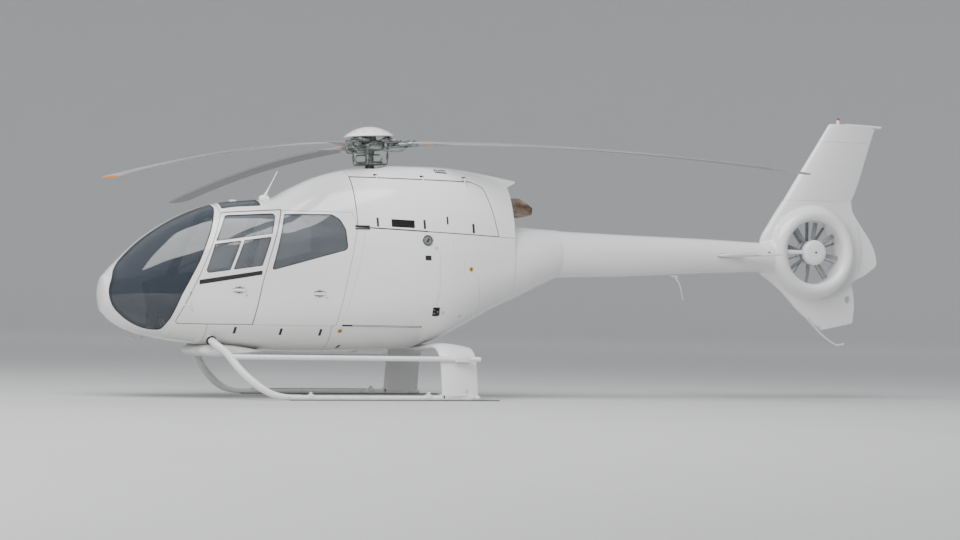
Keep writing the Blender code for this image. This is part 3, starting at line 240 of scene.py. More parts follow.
world.node_tree.nodes["Background"].inputs["Strength"].default_value = 0.58
bpy.context.scene.world = world
for light_name, place, size, power in (("overhead", (-4.0, -6.0, 14.0), (16.0, 12.0), 3300.0),
        ("front_left", (-14.0, -16.0, 6.0), (8.0, 6.0), 2000.0)):
    bpy.ops.object.light_add(type="AREA", location=place)
    light = bpy.context.object
    light.name = light_name
    light.data.shape = "RECTANGLE"
    light.data.size, light.data.size_y = size
    light.data.energy = power
    light.visible_glossy = light_name == "overhead"
    light.matrix_world = Matrix.Translation(place) @ (Vector((0.0, 0.0, 1.2))
        - Vector(place)).to_track_quat("-Z", "Y").to_matrix().to_4x4()

# The shell's form: one smooth composite shell from the nose to the end of the cowling.
# All panels below are cut from it, so their surfaces run on from one to the next.
BODY_SECTIONS = np.array((
    # x, half width, lowest, height of greatest width, highest, fullness below, fullness above
    (-3.080, 0.030, 1.095, 1.120, 1.145, 2.0, 2.0),
    (-3.060, 0.140, 0.985, 1.120, 1.245, 2.0, 2.0),
    (-3.000, 0.260, 0.885, 1.120, 1.345, 2.0, 2.0),
    (-2.880, 0.390, 0.785, 1.130, 1.475, 2.0, 2.0),
    (-2.700, 0.510, 0.705, 1.140, 1.655, 2.1, 2.0),
    (-2.450, 0.610, 0.645, 1.150, 1.845, 2.2, 2.1),
    (-2.150, 0.680, 0.597, 1.160, 2.010, 2.4, 2.2),
    (-1.800, 0.725, 0.556, 1.180, 2.130, 2.6, 2.4),
    (-1.400, 0.745, 0.527, 1.200, 2.180, 2.7, 2.55),
    (-1.150, 0.750, 0.515, 1.220, 2.210, 2.7, 2.5),
    (-0.950, 0.750, 0.510, 1.230, 2.320, 2.7, 2.35),
    (-0.700, 0.750, 0.512, 1.245, 2.440, 2.7, 2.25),
    (-0.400, 0.750, 0.520, 1.260, 2.535, 2.7, 2.15),
    (0.000, 0.745, 0.535, 1.280, 2.605, 2.6, 2.1),
    (0.400, 0.725, 0.560, 1.300, 2.620, 2.5, 2.1),
    (0.700, 0.690, 0.640, 1.330, 2.620, 2.4, 2.1),
    (1.000, 0.630, 0.775, 1.370, 2.605, 2.2, 2.1),
    (1.400, 0.520, 0.990, 1.460, 2.550, 2.1, 2.1),
    (1.900, 0.380, 1.215, 1.560, 2.460, 2.0, 2.1),
))
NOSE_WALL_X = -2.450
BODY_POINTS = 112


def smooth_rows(table, places):
    """A table's rows at other places along its first column, on smooth curves without overshoot."""
    x = table[:, 0]
    steps, rises = np.diff(x)[:, None], np.diff(table[:, 1:], axis=0)
    slopes = rises / steps
    tangents = np.zeros_like(table[:, 1:])
    tangents[0], tangents[-1] = slopes[0], slopes[-1]
    before, after = steps[:-1], steps[1:]
    inner = (slopes[:-1] * after + slopes[1:] * before) / (before + after)
    small = 3.0 * np.minimum(abs(slopes[:-1]), abs(slopes[1:]))
    inner = np.where(slopes[:-1] * slopes[1:] <= 0.0, 0.0, np.clip(inner, -small, small))
    tangents[1:-1] = inner
    rows = []
    for place in places:
        index = min(max(int(np.searchsorted(x, place)) - 1, 0), len(x) - 2)
        width = x[index + 1] - x[index]
        t = (place - x[index]) / width
        rows.append((2 * t ** 3 - 3 * t ** 2 + 1) * table[index, 1:]
            + (t ** 3 - 2 * t ** 2 + t) * width * tangents[index]
            + (3 * t ** 2 - 2 * t ** 3) * table[index + 1, 1:]
            + (t ** 3 - t ** 2) * width * tangents[index + 1])
    return np.array(rows)


body_places = np.concatenate([np.linspace(-3.080, -3.000, 9)[:-1], np.linspace(-3.000, -2.450, 19)[:-1],
    np.linspace(-2.450, 1.900, 109)])
body_rows = smooth_rows(BODY_SECTIONS, body_places)


def oval(x, row, points):
    """One cross section as an array of places, with its own fullness above and below the widest line."""
    half_width, low, wide, high, full_low, full_high = row
    angle = 2.0 * np.pi * np.arange(points) / points
    across, rise = np.cos(angle), np.sin(angle)
    full = np.where(rise > 0, full_high, full_low)
    reach = np.where(rise > 0, high - wide, wide - low)
    y = half_width * np.sign(across) * abs(across) ** (2.0 / full)
    z = wide + reach * np.sign(rise) * abs(rise) ** (2.0 / full)
    return np.stack([np.full(points, x), y, z], axis=1)


def skin(name, rings):
    """A grid whose rows are moved to a row of rings, closed along its seam and at its ends."""
    rows, around = len(rings), len(rings[0])
    bpy.ops.mesh.primitive_grid_add(x_subdivisions=around, y_subdivisions=rows - 1)
    obj = bpy.context.object
    obj.name = name
    places = np.array([np.vstack([ring, ring[:1]]) for ring in rings], float)
    obj.data.vertices.foreach_set("co", places.ravel())
    edit(obj, (bpy.ops.mesh.remove_doubles, dict(threshold=0.00002)),
        (bpy.ops.mesh.select_all, dict(action="DESELECT")), (bpy.ops.mesh.select_non_manifold, dict()),
        (bpy.ops.mesh.fill_holes, dict(sides=0)), *OUTWARDS)
    return obj


def body_form(name, depth=0.0):
    """The body's form, moved inwards by depth; a negative depth makes it larger."""
    rings = []
    for x, row in zip(body_places, body_rows):
        steep = max(0.0, (NOSE_WALL_X - x) / (NOSE_WALL_X - body_places[0]))
        inwards = depth * (1.0 + 0.7 * steep * steep)
        if row[0] - inwards < 0.02:
            continue
        half_width, low, wide, high, full_low, full_high = row
        rings.append(oval(x, (half_width - inwards, low + inwards, wide, high - inwards, full_low,
            full_high), BODY_POINTS))
    if depth < 0:
        rings[0][:, 0] += depth
    return skin(name, rings)


def section_at(x):
    return smooth_rows(BODY_SECTIONS, [x])[0]


def side_at(x, z):
    """Distance of the body's side from the middle plane."""
    half_width, low, wide, high, full_low, full_high = section_at(x)
    full, reach = (full_high, high - wide) if z > wide else (full_low, wide - low)
    return half_width * max(0.0, 1.0 - (abs(z - wide) / reach) ** full) ** (1.0 / full)


def top_at(x, y):
    half_width, low, wide, high, full_low, full_high = section_at(x)
    return wide + (high - wide) * (1.0 - (abs(y) / half_width) ** full_high) ** (1.0 / full_high)


def turns(count, start=0.0):
    """The angles of count even steps round a circle."""
    return [2 * math.pi * k / count + start for k in range(count)]


def pointing(out):
    """Turns an upright piece to a direction."""
    return Vector(out).to_track_quat("Z", "Y").to_matrix().to_4x4()


def rounded(corners, grow=0.0, steps=8):
    """An outline from corners (a, b) or (a, b, radius), moved outwards by grow, its corners as arcs."""
    points = [Vector(corner[:2]) for corner in corners]
    radii = [corner[2] if len(corner) > 2 else 0.0 for corner in corners]
    area = sum(a.x * b.y - b.x * a.y for a, b in zip(points, points[1:] + points[:1]))
    side = 1.0 if area > 0 else -1.0
    moved = []
    for index, here in enumerate(points):
        into = (here - points[index - 1]).normalized()
        out = (points[(index + 1) % len(points)] - here).normalized()
        normal_in = Vector((into.y, -into.x)) * side
        normal_out = Vector((out.y, -out.x)) * side
        turn = into.x * out.y - into.y * out.x
        share = grow / (1.0 + normal_in.dot(normal_out))
        radius = radii[index] + (grow if turn * side > 0 else -grow) if radii[index] else 0.0
        moved.append((here + (normal_in + normal_out) * share, max(radius, 0.0)))
    outline = []
    for index, (here, radius) in enumerate(moved):
        if not radius:
            outline.append(here)
            continue
        back = (moved[index - 1][0] - here).normalized()
        on = (moved[(index + 1) % len(moved)][0] - here).normalized()
        half = back.angle(on) / 2.0
        centre = here + (back + on).normalized() * (radius / math.sin(half))
        start = here + back * (radius / math.tan(half)) - centre
        sweep = start.angle_signed(here + on * (radius / math.tan(half)) - centre)
        for step in range(steps + 1):
            outline.append(centre + Matrix.Rotation(-sweep * step / steps, 2) @ start)
    return outline


def board(name, outline, plane, low, high):
    """A flat outline extruded from low to high along the third axis."""
    place = {"XZ": lambda a, b: (a, low, b), "YZ": lambda a, b: (low, a, b),
        "XY": lambda a, b: (a, b, low)}[plane]
    away = {"XZ": (0.0, high - low, 0.0), "YZ": (high - low, 0.0, 0.0), "XY": (0.0, 0.0, high - low)}[plane]
    obj = circle_mesh(name, [place(*point[:2]) for point in outline])
    return edit(obj, (bpy.ops.mesh.extrude_region_move, dict(TRANSFORM_OT_translate=dict(value=away))),
        *OUTWARDS)


def cut(obj, operation, *tools):
    """Booleans of closed pieces, applied; a tool is thrown away after its use unless it is hidden."""
    for tool in tools:
        finish_with(obj, "BOOLEAN", operation=operation, object=tool, solver="MANIFOLD")
        if not tool.hide_render:
            bpy.data.objects.remove(tool, do_unlink=True)
    return obj


def copy_of(obj, name):
    """A second piece with its own mesh."""
    new = obj.copy()
    new.data = obj.data.copy()
    new.name = name
    bpy.context.scene.collection.objects.link(new)
    return new


def finish_with(obj, modifier_type, **settings):
    modifier = obj.modifiers.new("shape", modifier_type)
    for setting, value in settings.items():
        setattr(modifier, setting, value)
    bpy.context.view_layer.objects.active = obj
    bpy.ops.object.modifier_apply(modifier=modifier.name)
    return obj


def fit(obj, finish, *nodes, body="root", slot=None, angle=32.0, set_down=True):
    """Sets a finished piece down on the floor's level, hangs it on its body and gives it its material."""
    if set_down:
        obj.data.transform(SET_DOWN)
    finishes = finish if isinstance(finish, tuple) else (finish,)
    obj.data.materials.clear()
    for one in finishes:
        obj.data.materials.append(one.material)
    obj.data.shade_smooth()
    obj.data.set_sharp_from_angle(angle=math.radians(angle))
    obj.data.name = obj.name
    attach(obj, body)
    slot or finishes[0].slot
    if nodes:
        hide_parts(*nodes)
    obj.select_set(False)
    return obj


body_solids = {}


def body_solid(depth):
    """A kept form at one depth, made the first time that it is asked for."""
    key = round(depth, 5)
    if key not in body_solids:
        body_solids[key] = body_form(f"form_{len(body_solids)}", depth)
        body_solids[key].hide_render = True
    return body_solids[key]


def read(items, what, wide=1):
    values = np.empty(len(items) * wide, float if wide > 1 else int)
    items.foreach_get(what, values)
    return values.reshape(-1, wide) if wide > 1 else values


def share_out(places, depth):
    """Over 1 where a place is outside the form at that depth, under 1 where it is inside."""
    x = np.clip(places[:, 0], body_places[0] + 0.002, body_places[-1] - 0.002)
    y, z = places[:, 1], places[:, 2]
    half_width, low, wide, high, full_low, full_high = [np.interp(x, body_places, body_rows[:, k])
        for k in range(6)]
    above = z > wide
    full = np.where(above, full_high, full_low)
    reach = np.maximum(np.where(above, high - wide, wide - low) - depth, 0.005)
    return (abs(y) / np.maximum(half_width - depth, 0.005)) ** full + (abs(z - wide) / reach) ** full


def true_surface(obj, depth):
    """Gives a cut panel's outer faces the normals of the smooth form, so that no cut shows in the gloss."""
    mesh = obj.data
    mesh.shade_smooth()
    mesh.set_sharp_from_angle(angle=math.radians(25))
    places = read(mesh.vertices, "co", 3)
    normal = np.stack([share_out(places + step, depth) - share_out(places - step, depth)
        for step in np.eye(3) * 0.003], axis=1)
    normal /= np.maximum(np.linalg.norm(normal, axis=1), 1e-9)[:, None]
    corner_normals = read(mesh.corner_normals, "vector", 3)
    corner_faces = np.repeat(np.arange(len(mesh.polygons)), read(mesh.polygons, "loop_total"))
    here = normal[read(mesh.loops, "vertex_index")]
    outside = (here * read(mesh.polygons, "normal", 3)[corner_faces]).sum(axis=1) > 0.90
    corner_normals[outside] = here[outside]
    mesh.normals_split_custom_set(corner_normals.tolist())


TRIM_DEPTH = 0.020         # what lies deeper than this under the surface is cabin trim


def line_inside(obj):
    """Puts the faces deep under the surface on the second material."""
    centres = read(obj.data.polygons, "center", 3)
    deep = (share_out(centres, TRIM_DEPTH) < 1.0) & (centres[:, 0] > body_places[0] + TRIM_DEPTH)
    obj.data.polygons.foreach_set("material_index", deep.astype(int))


OUT = 1.2


def region(name, corners, low=-OUT, high=OUT, grow=0.0, plane="XZ"):
    return board(name, rounded(corners, grow), plane, low, high)


def shell(name, node, keep, remove, body="root", finish=None, depth=0.0):
    """A panel in a node's place: the form kept inside one region and emptied by others, then fitted."""
    obj = copy_of(body_solid(depth), name)
    obj.hide_render = False
    cut(obj, "INTERSECT", keep)
    cut(obj, "DIFFERENCE", *remove)
    line_inside(obj)
    indices = read(obj.data.polygons, "material_index")
    fit(obj, (finish, finish) if finish else (white_paint, cabin_trim), node, body=body, set_down=False)
    obj.data.polygons.foreach_set("material_index", indices)
    true_surface(obj, depth)
    obj.data.transform(SET_DOWN)
    return obj


# The nose frame, belly and roof: moulded composite, gloss white outside and dark trim inside.
# They are bonded to each other with narrow joints that show as thin lines.
white_paint = Finish("gloss_white_paint", "white_paint", (0.86, 0.86, 0.85), 0.16, Coat_Weight=0.6,
    Coat_Roughness=0.04)
soft_patches = white_paint.noise(0.9, 2.0)
# Streaky tone all over, and painted shade: the paint is darkened towards the bottom of the machine.
lower_painted_shade = 1.0 - white_paint.axis("Z").ramp(-0.05, 0.55)
streaks = white_paint.noise(3.0, 4.0, (0.6, 1.0, 5.0))
white_paint.paint((lower_painted_shade * 0.35 + 0.12) * streaks, white_paint.mix(soft_patches, (0.88, 0.88, 0.87),
    (0.84, 0.84, 0.83)), (0.60, 0.59, 0.55))
white_paint.roughen(0.11, 0.10, 5.0, 3.0)
white_paint.bump(white_paint.noise(420.0, 1.0), 0.00005, 0.25)
cabin_trim = Finish("cabin_trim", "dark_trim", (0.075, 0.078, 0.082), 0.75)
cabin_trim.paint(cabin_trim.noise(60.0), (0.06, 0.062, 0.066), (0.10, 0.102, 0.106))
cabin_trim.bump(cabin_trim.noise(900.0, 2.0), 0.0004)
FIT_GAP = 0.0003
SEAM = 0.0022              # half of a joint's width
DOOR_GAP = 0.008
BAGGAGE_GAP = 0.011
COWL_GAP = 0.012
CABIN_WALL = 0.035
COWL_WALL = 0.022
FLOOR_HEIGHT = 0.802
GLASS_OUTSIDE = 0.0103
GLASS_INSIDE = GLASS_OUTSIDE + 0.006
FRONT_JOINT_X = -2.000
ROOF_FRONT_X = -1.830
PANEL_LINE_X = -0.620
COWL_FRONT_X = -1.190
COWL_SPLIT_X = -0.343
BULKHEAD_X = -0.372
CONE_X = 1.600
BOOM_X = 2.250
FIN_X = 4.880
CEILING_HEIGHT = 2.070
ROOF_TOP_HEIGHT = 2.100
DOOR_INNER_Y = 0.300
SIDES = (("port", -1.0), ("starboard", 1.0))
FRONT_DOOR_LOW = FLOOR_HEIGHT + FIT_GAP + DOOR_GAP
SLIDING_DOOR_LOW = FLOOR_HEIGHT + 2 * FIT_GAP
FRONT_DOOR = ((-2.345, FRONT_DOOR_LOW, 0.03), (-1.524, FRONT_DOOR_LOW), (-1.435, 1.247), (-1.357, 1.521),
    (-1.176, 2.058), (-1.824, 2.011, 0.05), (-1.960, 1.660), (-2.113, 1.310), (-2.240, 1.037))
DOOR_RISE = 0.006
FRONT_DOORWAY = [(x + DOOR_RISE, z + DOOR_RISE, *radius) if z > 2.0 else (x, z, *radius)
    for x, z, *radius in FRONT_DOOR]
SLIDING_DOOR = ((-1.516, SLIDING_DOOR_LOW), (-0.576, SLIDING_DOOR_LOW, 0.03), (-0.435, 1.479),
    (-0.352, 1.850), (-0.352, 1.940), (-0.395, 2.054, 0.03), (-1.163, 2.058), (-1.349, 1.521),
    (-1.427, 1.247))
WINDSCREEN_SIDE = ((-1.868, 2.8), (-1.868, 2.070, 0.04), (-1.964, 1.801), (-2.098, 1.486), (-2.292, 1.114),
    (-2.390, 0.860, 0.08), (-2.455, 0.745, 0.04), (-2.620, 0.690), (-3.4, 0.620), (-3.4, 2.8))
WINDSCREEN_FRONT = ((-0.045, 2.8), (-0.045, 1.620), (-0.070, 1.480, 0.1), (-0.235, 1.290, 0.15),
    (-0.272, 0.950, 0.3), (-0.290, 0.735, 0.05), (-1.0, 0.735), (-1.0, 2.8))
ROOF_WINDOW = ((-1.780, -0.060, 0.03), (-1.360, -0.060, 0.03), (-1.365, -0.390, 0.03),
    (-1.802, -0.345, 0.03))


def half_range(sign, inner=0.0):
    return (-OUT, -inner) if sign < 0 else (inner, OUT)


def doorway(sign):
    return region("doorway", FRONT_DOORWAY, *half_range(sign, DOOR_INNER_Y), DOOR_GAP)


def windscreen_region(sign, grow=0.0):
    screen = region("screen", WINDSCREEN_SIDE, *half_range(sign), grow)
    front = [(-y * sign, z, *radius) for y, z, *radius in WINDSCREEN_FRONT]
    return cut(screen, "INTERSECT", region("front", front, -3.5, -1.5, grow, "YZ"))


def roof_window_region(sign, grow=0.0):
    panes = [(x, -y * sign, *radius) for x, y, *radius in ROOF_WINDOW]
    return region("roof_pane", panes, 1.8, 2.6, grow, "XY")


cabin_space = region("cabin_space", ((-3.4, 0.4), (FRONT_JOINT_X - 0.020, 0.4),
    (FRONT_JOINT_X - 0.020, FLOOR_HEIGHT), (BULKHEAD_X, FLOOR_HEIGHT), (BULKHEAD_X, CEILING_HEIGHT),
    (-1.230, CEILING_HEIGHT), (-1.230, 2.8), (-3.4, 2.8)))
cut(cabin_space, "INTERSECT", body_solid(CABIN_WALL))
cabin_space.hide_render = True
nose_region = region("nose_region", ((-3.4, 0.4), (FRONT_JOINT_X - SEAM, 0.4),
    (FRONT_JOINT_X - SEAM, FLOOR_HEIGHT + FIT_GAP), (ROOF_FRONT_X - SEAM, FLOOR_HEIGHT + FIT_GAP),
    (ROOF_FRONT_X - SEAM, 2.8), (-3.4, 2.8)))
shell("nose_frame_shell", "nose_frame", nose_region, [cabin_space, doorway(-1.0), doorway(1.0),
    windscreen_region(-1.0), windscreen_region(1.0)])
belly_region = region("belly_region", ((FRONT_JOINT_X + SEAM, 0.3), (PANEL_LINE_X - SEAM, 0.3),
    (PANEL_LINE_X - SEAM, FLOOR_HEIGHT), (FRONT_JOINT_X + SEAM, FLOOR_HEIGHT)))
shell("belly_shell", "belly", belly_region, [])
roof_region = region("roof_region", ((ROOF_FRONT_X + SEAM, 1.9), (PANEL_LINE_X - FIT_GAP, 1.9),
    (PANEL_LINE_X - FIT_GAP, CEILING_HEIGHT), (COWL_SPLIT_X - FIT_GAP, CEILING_HEIGHT),
    (COWL_SPLIT_X - FIT_GAP, ROOF_TOP_HEIGHT), (COWL_FRONT_X, ROOF_TOP_HEIGHT), (COWL_FRONT_X, 2.8),
    (ROOF_FRONT_X + SEAM, 2.8)))


def sliding_opening(sign, grow=SEAM):
    return region("sliding_opening", SLIDING_DOOR, *half_range(sign, DOOR_INNER_Y), grow)


shell("roof_shell", "roof", roof_region, [cabin_space, sliding_opening(-1.0), sliding_opening(1.0),
    doorway(-1.0), doorway(1.0), roof_window_region(-1.0), roof_window_region(1.0)])

# Windscreens and roof windows: blown acrylic with a dark blue tint, bonded in behind a black edge band.
# Each half is one sheet from the roof to the chin.
windscreen_tint = Finish("windscreen_tint", "tinted_glass", (0.024, 0.034, 0.050), 0.03, Coat_Weight=1.0,
    Coat_Roughness=0.02, Specular_IOR_Level=0.8)
smear = windscreen_tint.noise(2.2, 4.0, (1.0, 1.0, 2.5))
windscreen_tint.set("Alpha", smear * 0.14 + 0.46)
windscreen_tint.set("Roughness", smear * 0.05 + 0.015)
windscreen_tint.paint(smear, (0.018, 0.028, 0.044), (0.045, 0.058, 0.078))
rubber = Finish("black_rubber", "dark_trim", (0.018, 0.018, 0.019), 0.62)
rubber.roughen(0.5, 0.25, 40.0)
rubber.bump(rubber.noise(700.0, 1.0), 0.0002)
EDGE_BAND = 0.011


def band(name, outer, inner=None, depth=0.0002, thickness=0.012, finish=None, body="root"):
    """A rubber band that follows the surface between two outlines, or fills the outer one."""
    obj = copy_of(body_solid(depth), name)
    obj.hide_render = False
    cut(obj, "INTERSECT", outer)
    if inner:
        cut(obj, "DIFFERENCE", inner)
    cut(obj, "DIFFERENCE", body_solid(depth + thickness))
    fit(obj, finish or rubber, body=body, set_down=False)
    true_surface(obj, depth)
    obj.data.transform(SET_DOWN)
    return obj


for side, sign in SIDES:
    for pane, pane_region in (("windscreen", windscreen_region), ("roof_window", roof_window_region)):
        shell(f"{pane}_{side}_sheet", f"{pane}_{side}", pane_region(sign, -FIT_GAP),
            [body_solid(GLASS_INSIDE)], finish=windscreen_tint, depth=0.002)
        band(f"{pane}_{side}_seal", pane_region(sign), pane_region(sign, -EDGE_BAND))

# Front doors: moulded shells with a window of three panes behind white bars, hinged at the leading edge.
# Each has an oval dished handle and a black slide for its vent pane under the window.
FRONT_WINDOW = ((-1.788, 1.989, 0.04), (-1.237, 2.024, 0.03), (-1.431, 1.443, 0.02), (-2.053, 1.348, 0.03))
FRONT_PANES = (((-1.790, 1.989, 0.04), (-1.237, 2.024, 0.03), (-1.304, 1.796, 0.01), (-1.926, 1.700, 0.01)),
    ((-1.936, 1.670, 0.01), (-1.650, 1.712, 0.01), (-1.784, 1.389, 0.01), (-2.053, 1.348, 0.03)),
    ((-1.620, 1.717, 0.01), (-1.315, 1.763, 0.01), (-1.431, 1.443, 0.02), (-1.752, 1.394, 0.01)))
VENT_SLIDE = ((-2.113, 1.279, 0.006), (-1.431, 1.393, 0.006), (-1.436, 1.347, 0.006),
    (-2.116, 1.229, 0.006))
DOOR_HINGE_X = -2.223
DOOR_HINGE_Y = 0.700
DOOR_HINGE_Z = 1.080
DOOR_HINGE_LEAN = 0.10
FRONT_DOOR_HINGES = ((1.145, -2.235, -2.150), (1.016, -2.295, -2.210))
HINGE_DEPTH = 0.016
HANDLE_SIZE = (0.078, 0.027, 0.046)
FRONT_HANDLE = (-1.679, 1.176)
SLIDING_HANDLE = (-0.782, 1.151)
side_glass = Finish("side_glass", "tinted_glass", (0.11, 0.125, 0.14), 0.02, Coat_Weight=1.0,
    Coat_Roughness=0.02, Specular_IOR_Level=0.7)
reflection = side_glass.noise(1.3, 3.0, (0.5, 1.0, 3.0))
side_glass.set("Alpha", reflection * 0.24 + 0.34)
side_glass.paint(reflection, (0.075, 0.085, 0.098), (0.25, 0.275, 0.30))
grey_rubber = Finish("grey_rubber", "dark_trim", (0.24, 0.24, 0.24), 0.7)
grey_rubber.roughen(0.6, 0.2, 60.0)
bright_metal = Finish("bright_metal", "hub_metal", (0.62, 0.63, 0.62), 0.28, 1.0)
bright_metal.roughen(0.18, 0.25, 80.0, 4.0)


def rod(name, points, radius, radii=None, sides=16, smooth=0):
    """A round bar along points; with smooth, on a curve with that many steps between two of them."""
    places = [Vector(point) for point in points]
    scales = list(radii or [1.0] * len(places))
    if smooth:
        reach = np.concatenate([[0.0], np.cumsum([(b - a).length for a, b in zip(places, places[1:])])])
        table = np.column_stack([reach, [list(place) + [scale] for place, scale in zip(places, scales)]])
        steps = np.concatenate([np.linspace(a, b, smooth, endpoint=False) for a, b in zip(reach, reach[1:])]
            + [[reach[-1]]])
        rows = smooth_rows(table, steps)
        places, scales = [Vector(row[:3]) for row in rows], list(rows[:, 3])
    normal = (places[1] - places[0]).orthogonal().normalized()
    rings = []
    for index, here in enumerate(places):
        along = (places[min(index + 1, len(places) - 1)] - places[max(index - 1, 0)]).normalized()
        normal = (normal - along * normal.dot(along)).normalized()
        across = along.cross(normal)
        rings.append(np.array([here + (normal * math.cos(turn) + across * math.sin(turn)) * radius
            * scales[index] for turn in turns(sides)]))
    return skin(name, rings)


def join(name, pieces):
    """Several pieces made one object, each still a closed shell of its own."""
    bpy.ops.object.select_all(action="DESELECT")
    for piece in pieces:
        piece.select_set(True)
    bpy.context.view_layer.objects.active = pieces[0]
    bpy.ops.object.join()
    pieces[0].name = name
    return pieces[0]


def box(name, low, high, bevel=0.0, segments=2):
    """A block with its edges taken off."""
    low, high = Vector(low), Vector(high)
    bpy.ops.mesh.primitive_cube_add(size=1.0)
    obj = bpy.context.object
    obj.name = name
    obj.data.transform(Matrix.Translation((low + high) / 2.0) @ Matrix.Diagonal((*(high - low), 1.0)))
    return finish_with(obj, "BEVEL", width=bevel, segments=segments) if bevel else obj


def on_side(x, z, sign):
    """The axes of a small fitting on the body's side: along the body, outwards, up."""
    y = side_at(x, z)
    out = Vector((-(side_at(x + 0.01, z) - side_at(x - 0.01, z)) / 0.02, 1.0,
        -(side_at(x, z + 0.01) - side_at(x, z - 0.01)) / 0.02)).normalized()
    out.y *= sign
    along = Vector((1.0, 0.0, 0.0))
    along = (along - out * along.dot(out)).normalized()
    rise = along.cross(out) if sign < 0 else out.cross(along)
    rise = rise if rise.z > 0 else -rise
    axes = Matrix((along, out, rise)).transposed().to_4x4()
    return Matrix.Translation((x, sign * y, z)) @ axes


def faced(obj):
    """Turns a piece's faces outwards again after it was placed by axes that may mirror it."""
    return edit(obj, *OUTWARDS)


def egg(name, size, segments=32, rings=16):
    """A flattened ball."""
    bpy.ops.mesh.primitive_uv_sphere_add(segments=segments, ring_count=rings, radius=1.0)
    obj = bpy.context.object
    obj.name = name
    obj.data.transform(Matrix.Diagonal((*size, 1.0)))
    return obj


def handle_dish(x, z, sign):
    dish = egg("dish", HANDLE_SIZE)
    dish.data.transform(on_side(x, z, sign))
    return faced(dish)


def handle(name, x, z, sign, body):
    """A flat pull bar across the middle of an oval dish, with a thin raised rim round it."""
    flap = egg(f"{name}_flap", (HANDLE_SIZE[0], 0.005, 0.017))
    bpy.ops.mesh.primitive_torus_add(major_radius=1.0, minor_radius=0.03, major_segments=40,
        minor_segments=8)
    rim = bpy.context.object
    rim.data.transform(Matrix.Diagonal((HANDLE_SIZE[0], HANDLE_SIZE[2], 0.045, 1.0)))
    rim.data.transform(Matrix.Rotation(math.pi / 2, 4, "X"))
    piece = join(name, [flap, rim])
    piece.data.transform(on_side(x, z, sign))
    return fit(faced(piece), white_paint, body=body)


def hinge(name, place, axis, fixed_foot, moving_foot, moving_body, finish=None):
    """Two knuckles end to end on a door's axis, each with an arm down into its own panel."""
    for half, foot, along, body in (("fixed", fixed_foot, -1.0, "root"),
            ("moving", moving_foot, 1.0, moving_body)):
        near, far = place + axis * along * FIT_GAP / 2.0, place + axis * along * 0.022
        knuckle = rod("knuckle", [near, near + (far - near) * 0.1, far - (far - near) * 0.1, far], 0.008,
            (0.88, 1.0, 1.0, 0.88), 20)
        arm = rod("arm", [(near + far) / 2.0, foot + axis * along * 0.011], 0.0055, None, 14)
        if finish:
            fit(knuckle, finish, body=body).name = f"{name}_{half}_knuckle"
            fit(arm, white_paint, body=body).name = f"{name}_{half}_arm"
        else:
            fit(join(f"{name}_{half}", [knuckle, arm]), white_paint, body=body)


for side, sign in SIDES:
    body = f"front_door_{side}_body"
    limits = half_range(sign)
    behind_bars = region("behind_bars", FRONT_WINDOW, *limits)
    cut(behind_bars, "INTERSECT", body_solid(GLASS_OUTSIDE - FIT_GAP))
    shell(f"front_door_{side}_panel", f"front_door_{side}", region("outline", FRONT_DOOR, *limits),
        [body_solid(CABIN_WALL), behind_bars, *[region("pane", pane, *limits) for pane in FRONT_PANES],
        handle_dish(*FRONT_HANDLE, sign)], body)
    shell(f"front_door_{side}_window", f"front_door_glass_{side}",
        region("fit", FRONT_WINDOW, *limits, -FIT_GAP), [body_solid(GLASS_INSIDE)], body, side_glass,
        GLASS_OUTSIDE)
    for number, pane in enumerate(FRONT_PANES):
        band(f"front_pane_{side}_{number}_seal", region("outer", pane, *limits),
            region("inner", pane, *limits, -0.006), 0.006, GLASS_OUTSIDE - 0.0062, body=body)
    band(f"vent_slide_{side}", region("slide", VENT_SLIDE, *limits), None, -0.0016, 0.005, body=body)
    band(f"front_doorway_{side}_seal", doorway(sign), region("door", FRONT_DOOR, *limits, 0.0022), 0.0035,
        0.020, grey_rubber)
    handle(f"front_door_{side}_handle", *FRONT_HANDLE, sign, body)
    door_axis = Vector((0.0, -sign * DOOR_HINGE_LEAN, 1.0)).normalized()
    for number, (height, frame_x, door_x) in enumerate(FRONT_DOOR_HINGES):
        axis_y = DOOR_HINGE_Y - DOOR_HINGE_LEAN * (height - DOOR_HINGE_Z)
        feet = [Vector((x, sign * (side_at(x, height) - HINGE_DEPTH), height)) for x in (frame_x, door_x)]
        hinge(f"front_door_{side}_hinge_{number}", Vector((DOOR_HINGE_X, sign * axis_y, height)), door_axis,
            *feet, body)

# Rear side panels: a sliding door to port and a fixed panel to starboard, with one large window each.
# The sliding door has the same dished handle, and both sit in thin rubber joints.
REAR_WINDOW = ((-1.146, 2.019, 0.03), (-0.625, 2.028, 0.09), (-0.535, 1.975, 0.10), (-0.476, 1.865, 0.12),
    (-0.460, 1.640, 0.055), (-1.330, 1.393, 0.02))
for side, sign, name in (("port", -1.0, "sliding_door"), ("starboard", 1.0, "side_panel")):
    limits = half_range(sign)
    dishes = [handle_dish(*SLIDING_HANDLE, sign)] if sign < 0 else []
    shell(f"{name}_panel", name, region("outline", SLIDING_DOOR, *limits, -SEAM),
        [body_solid(CABIN_WALL), region("window", REAR_WINDOW, *limits), *dishes])
    shell(f"{name}_window", f"{name}_glass", region("fit", REAR_WINDOW, *limits, -FIT_GAP),
        [body_solid(GLASS_INSIDE)], finish=side_glass, depth=0.004)
    band(f"{name}_window_seal", region("outer", REAR_WINDOW, *limits),
        region("inner", REAR_WINDOW, *limits, -0.009), 0.001, 0.010)
    band(f"{name}_joint", region("outer", SLIDING_DOOR, *limits, SEAM + 0.004),
        region("inner", SLIDING_DOOR, *limits, -SEAM - 0.004), 0.006, 0.010, grey_rubber)
handle("sliding_door_handle", *SLIDING_HANDLE, -1.0, "root")

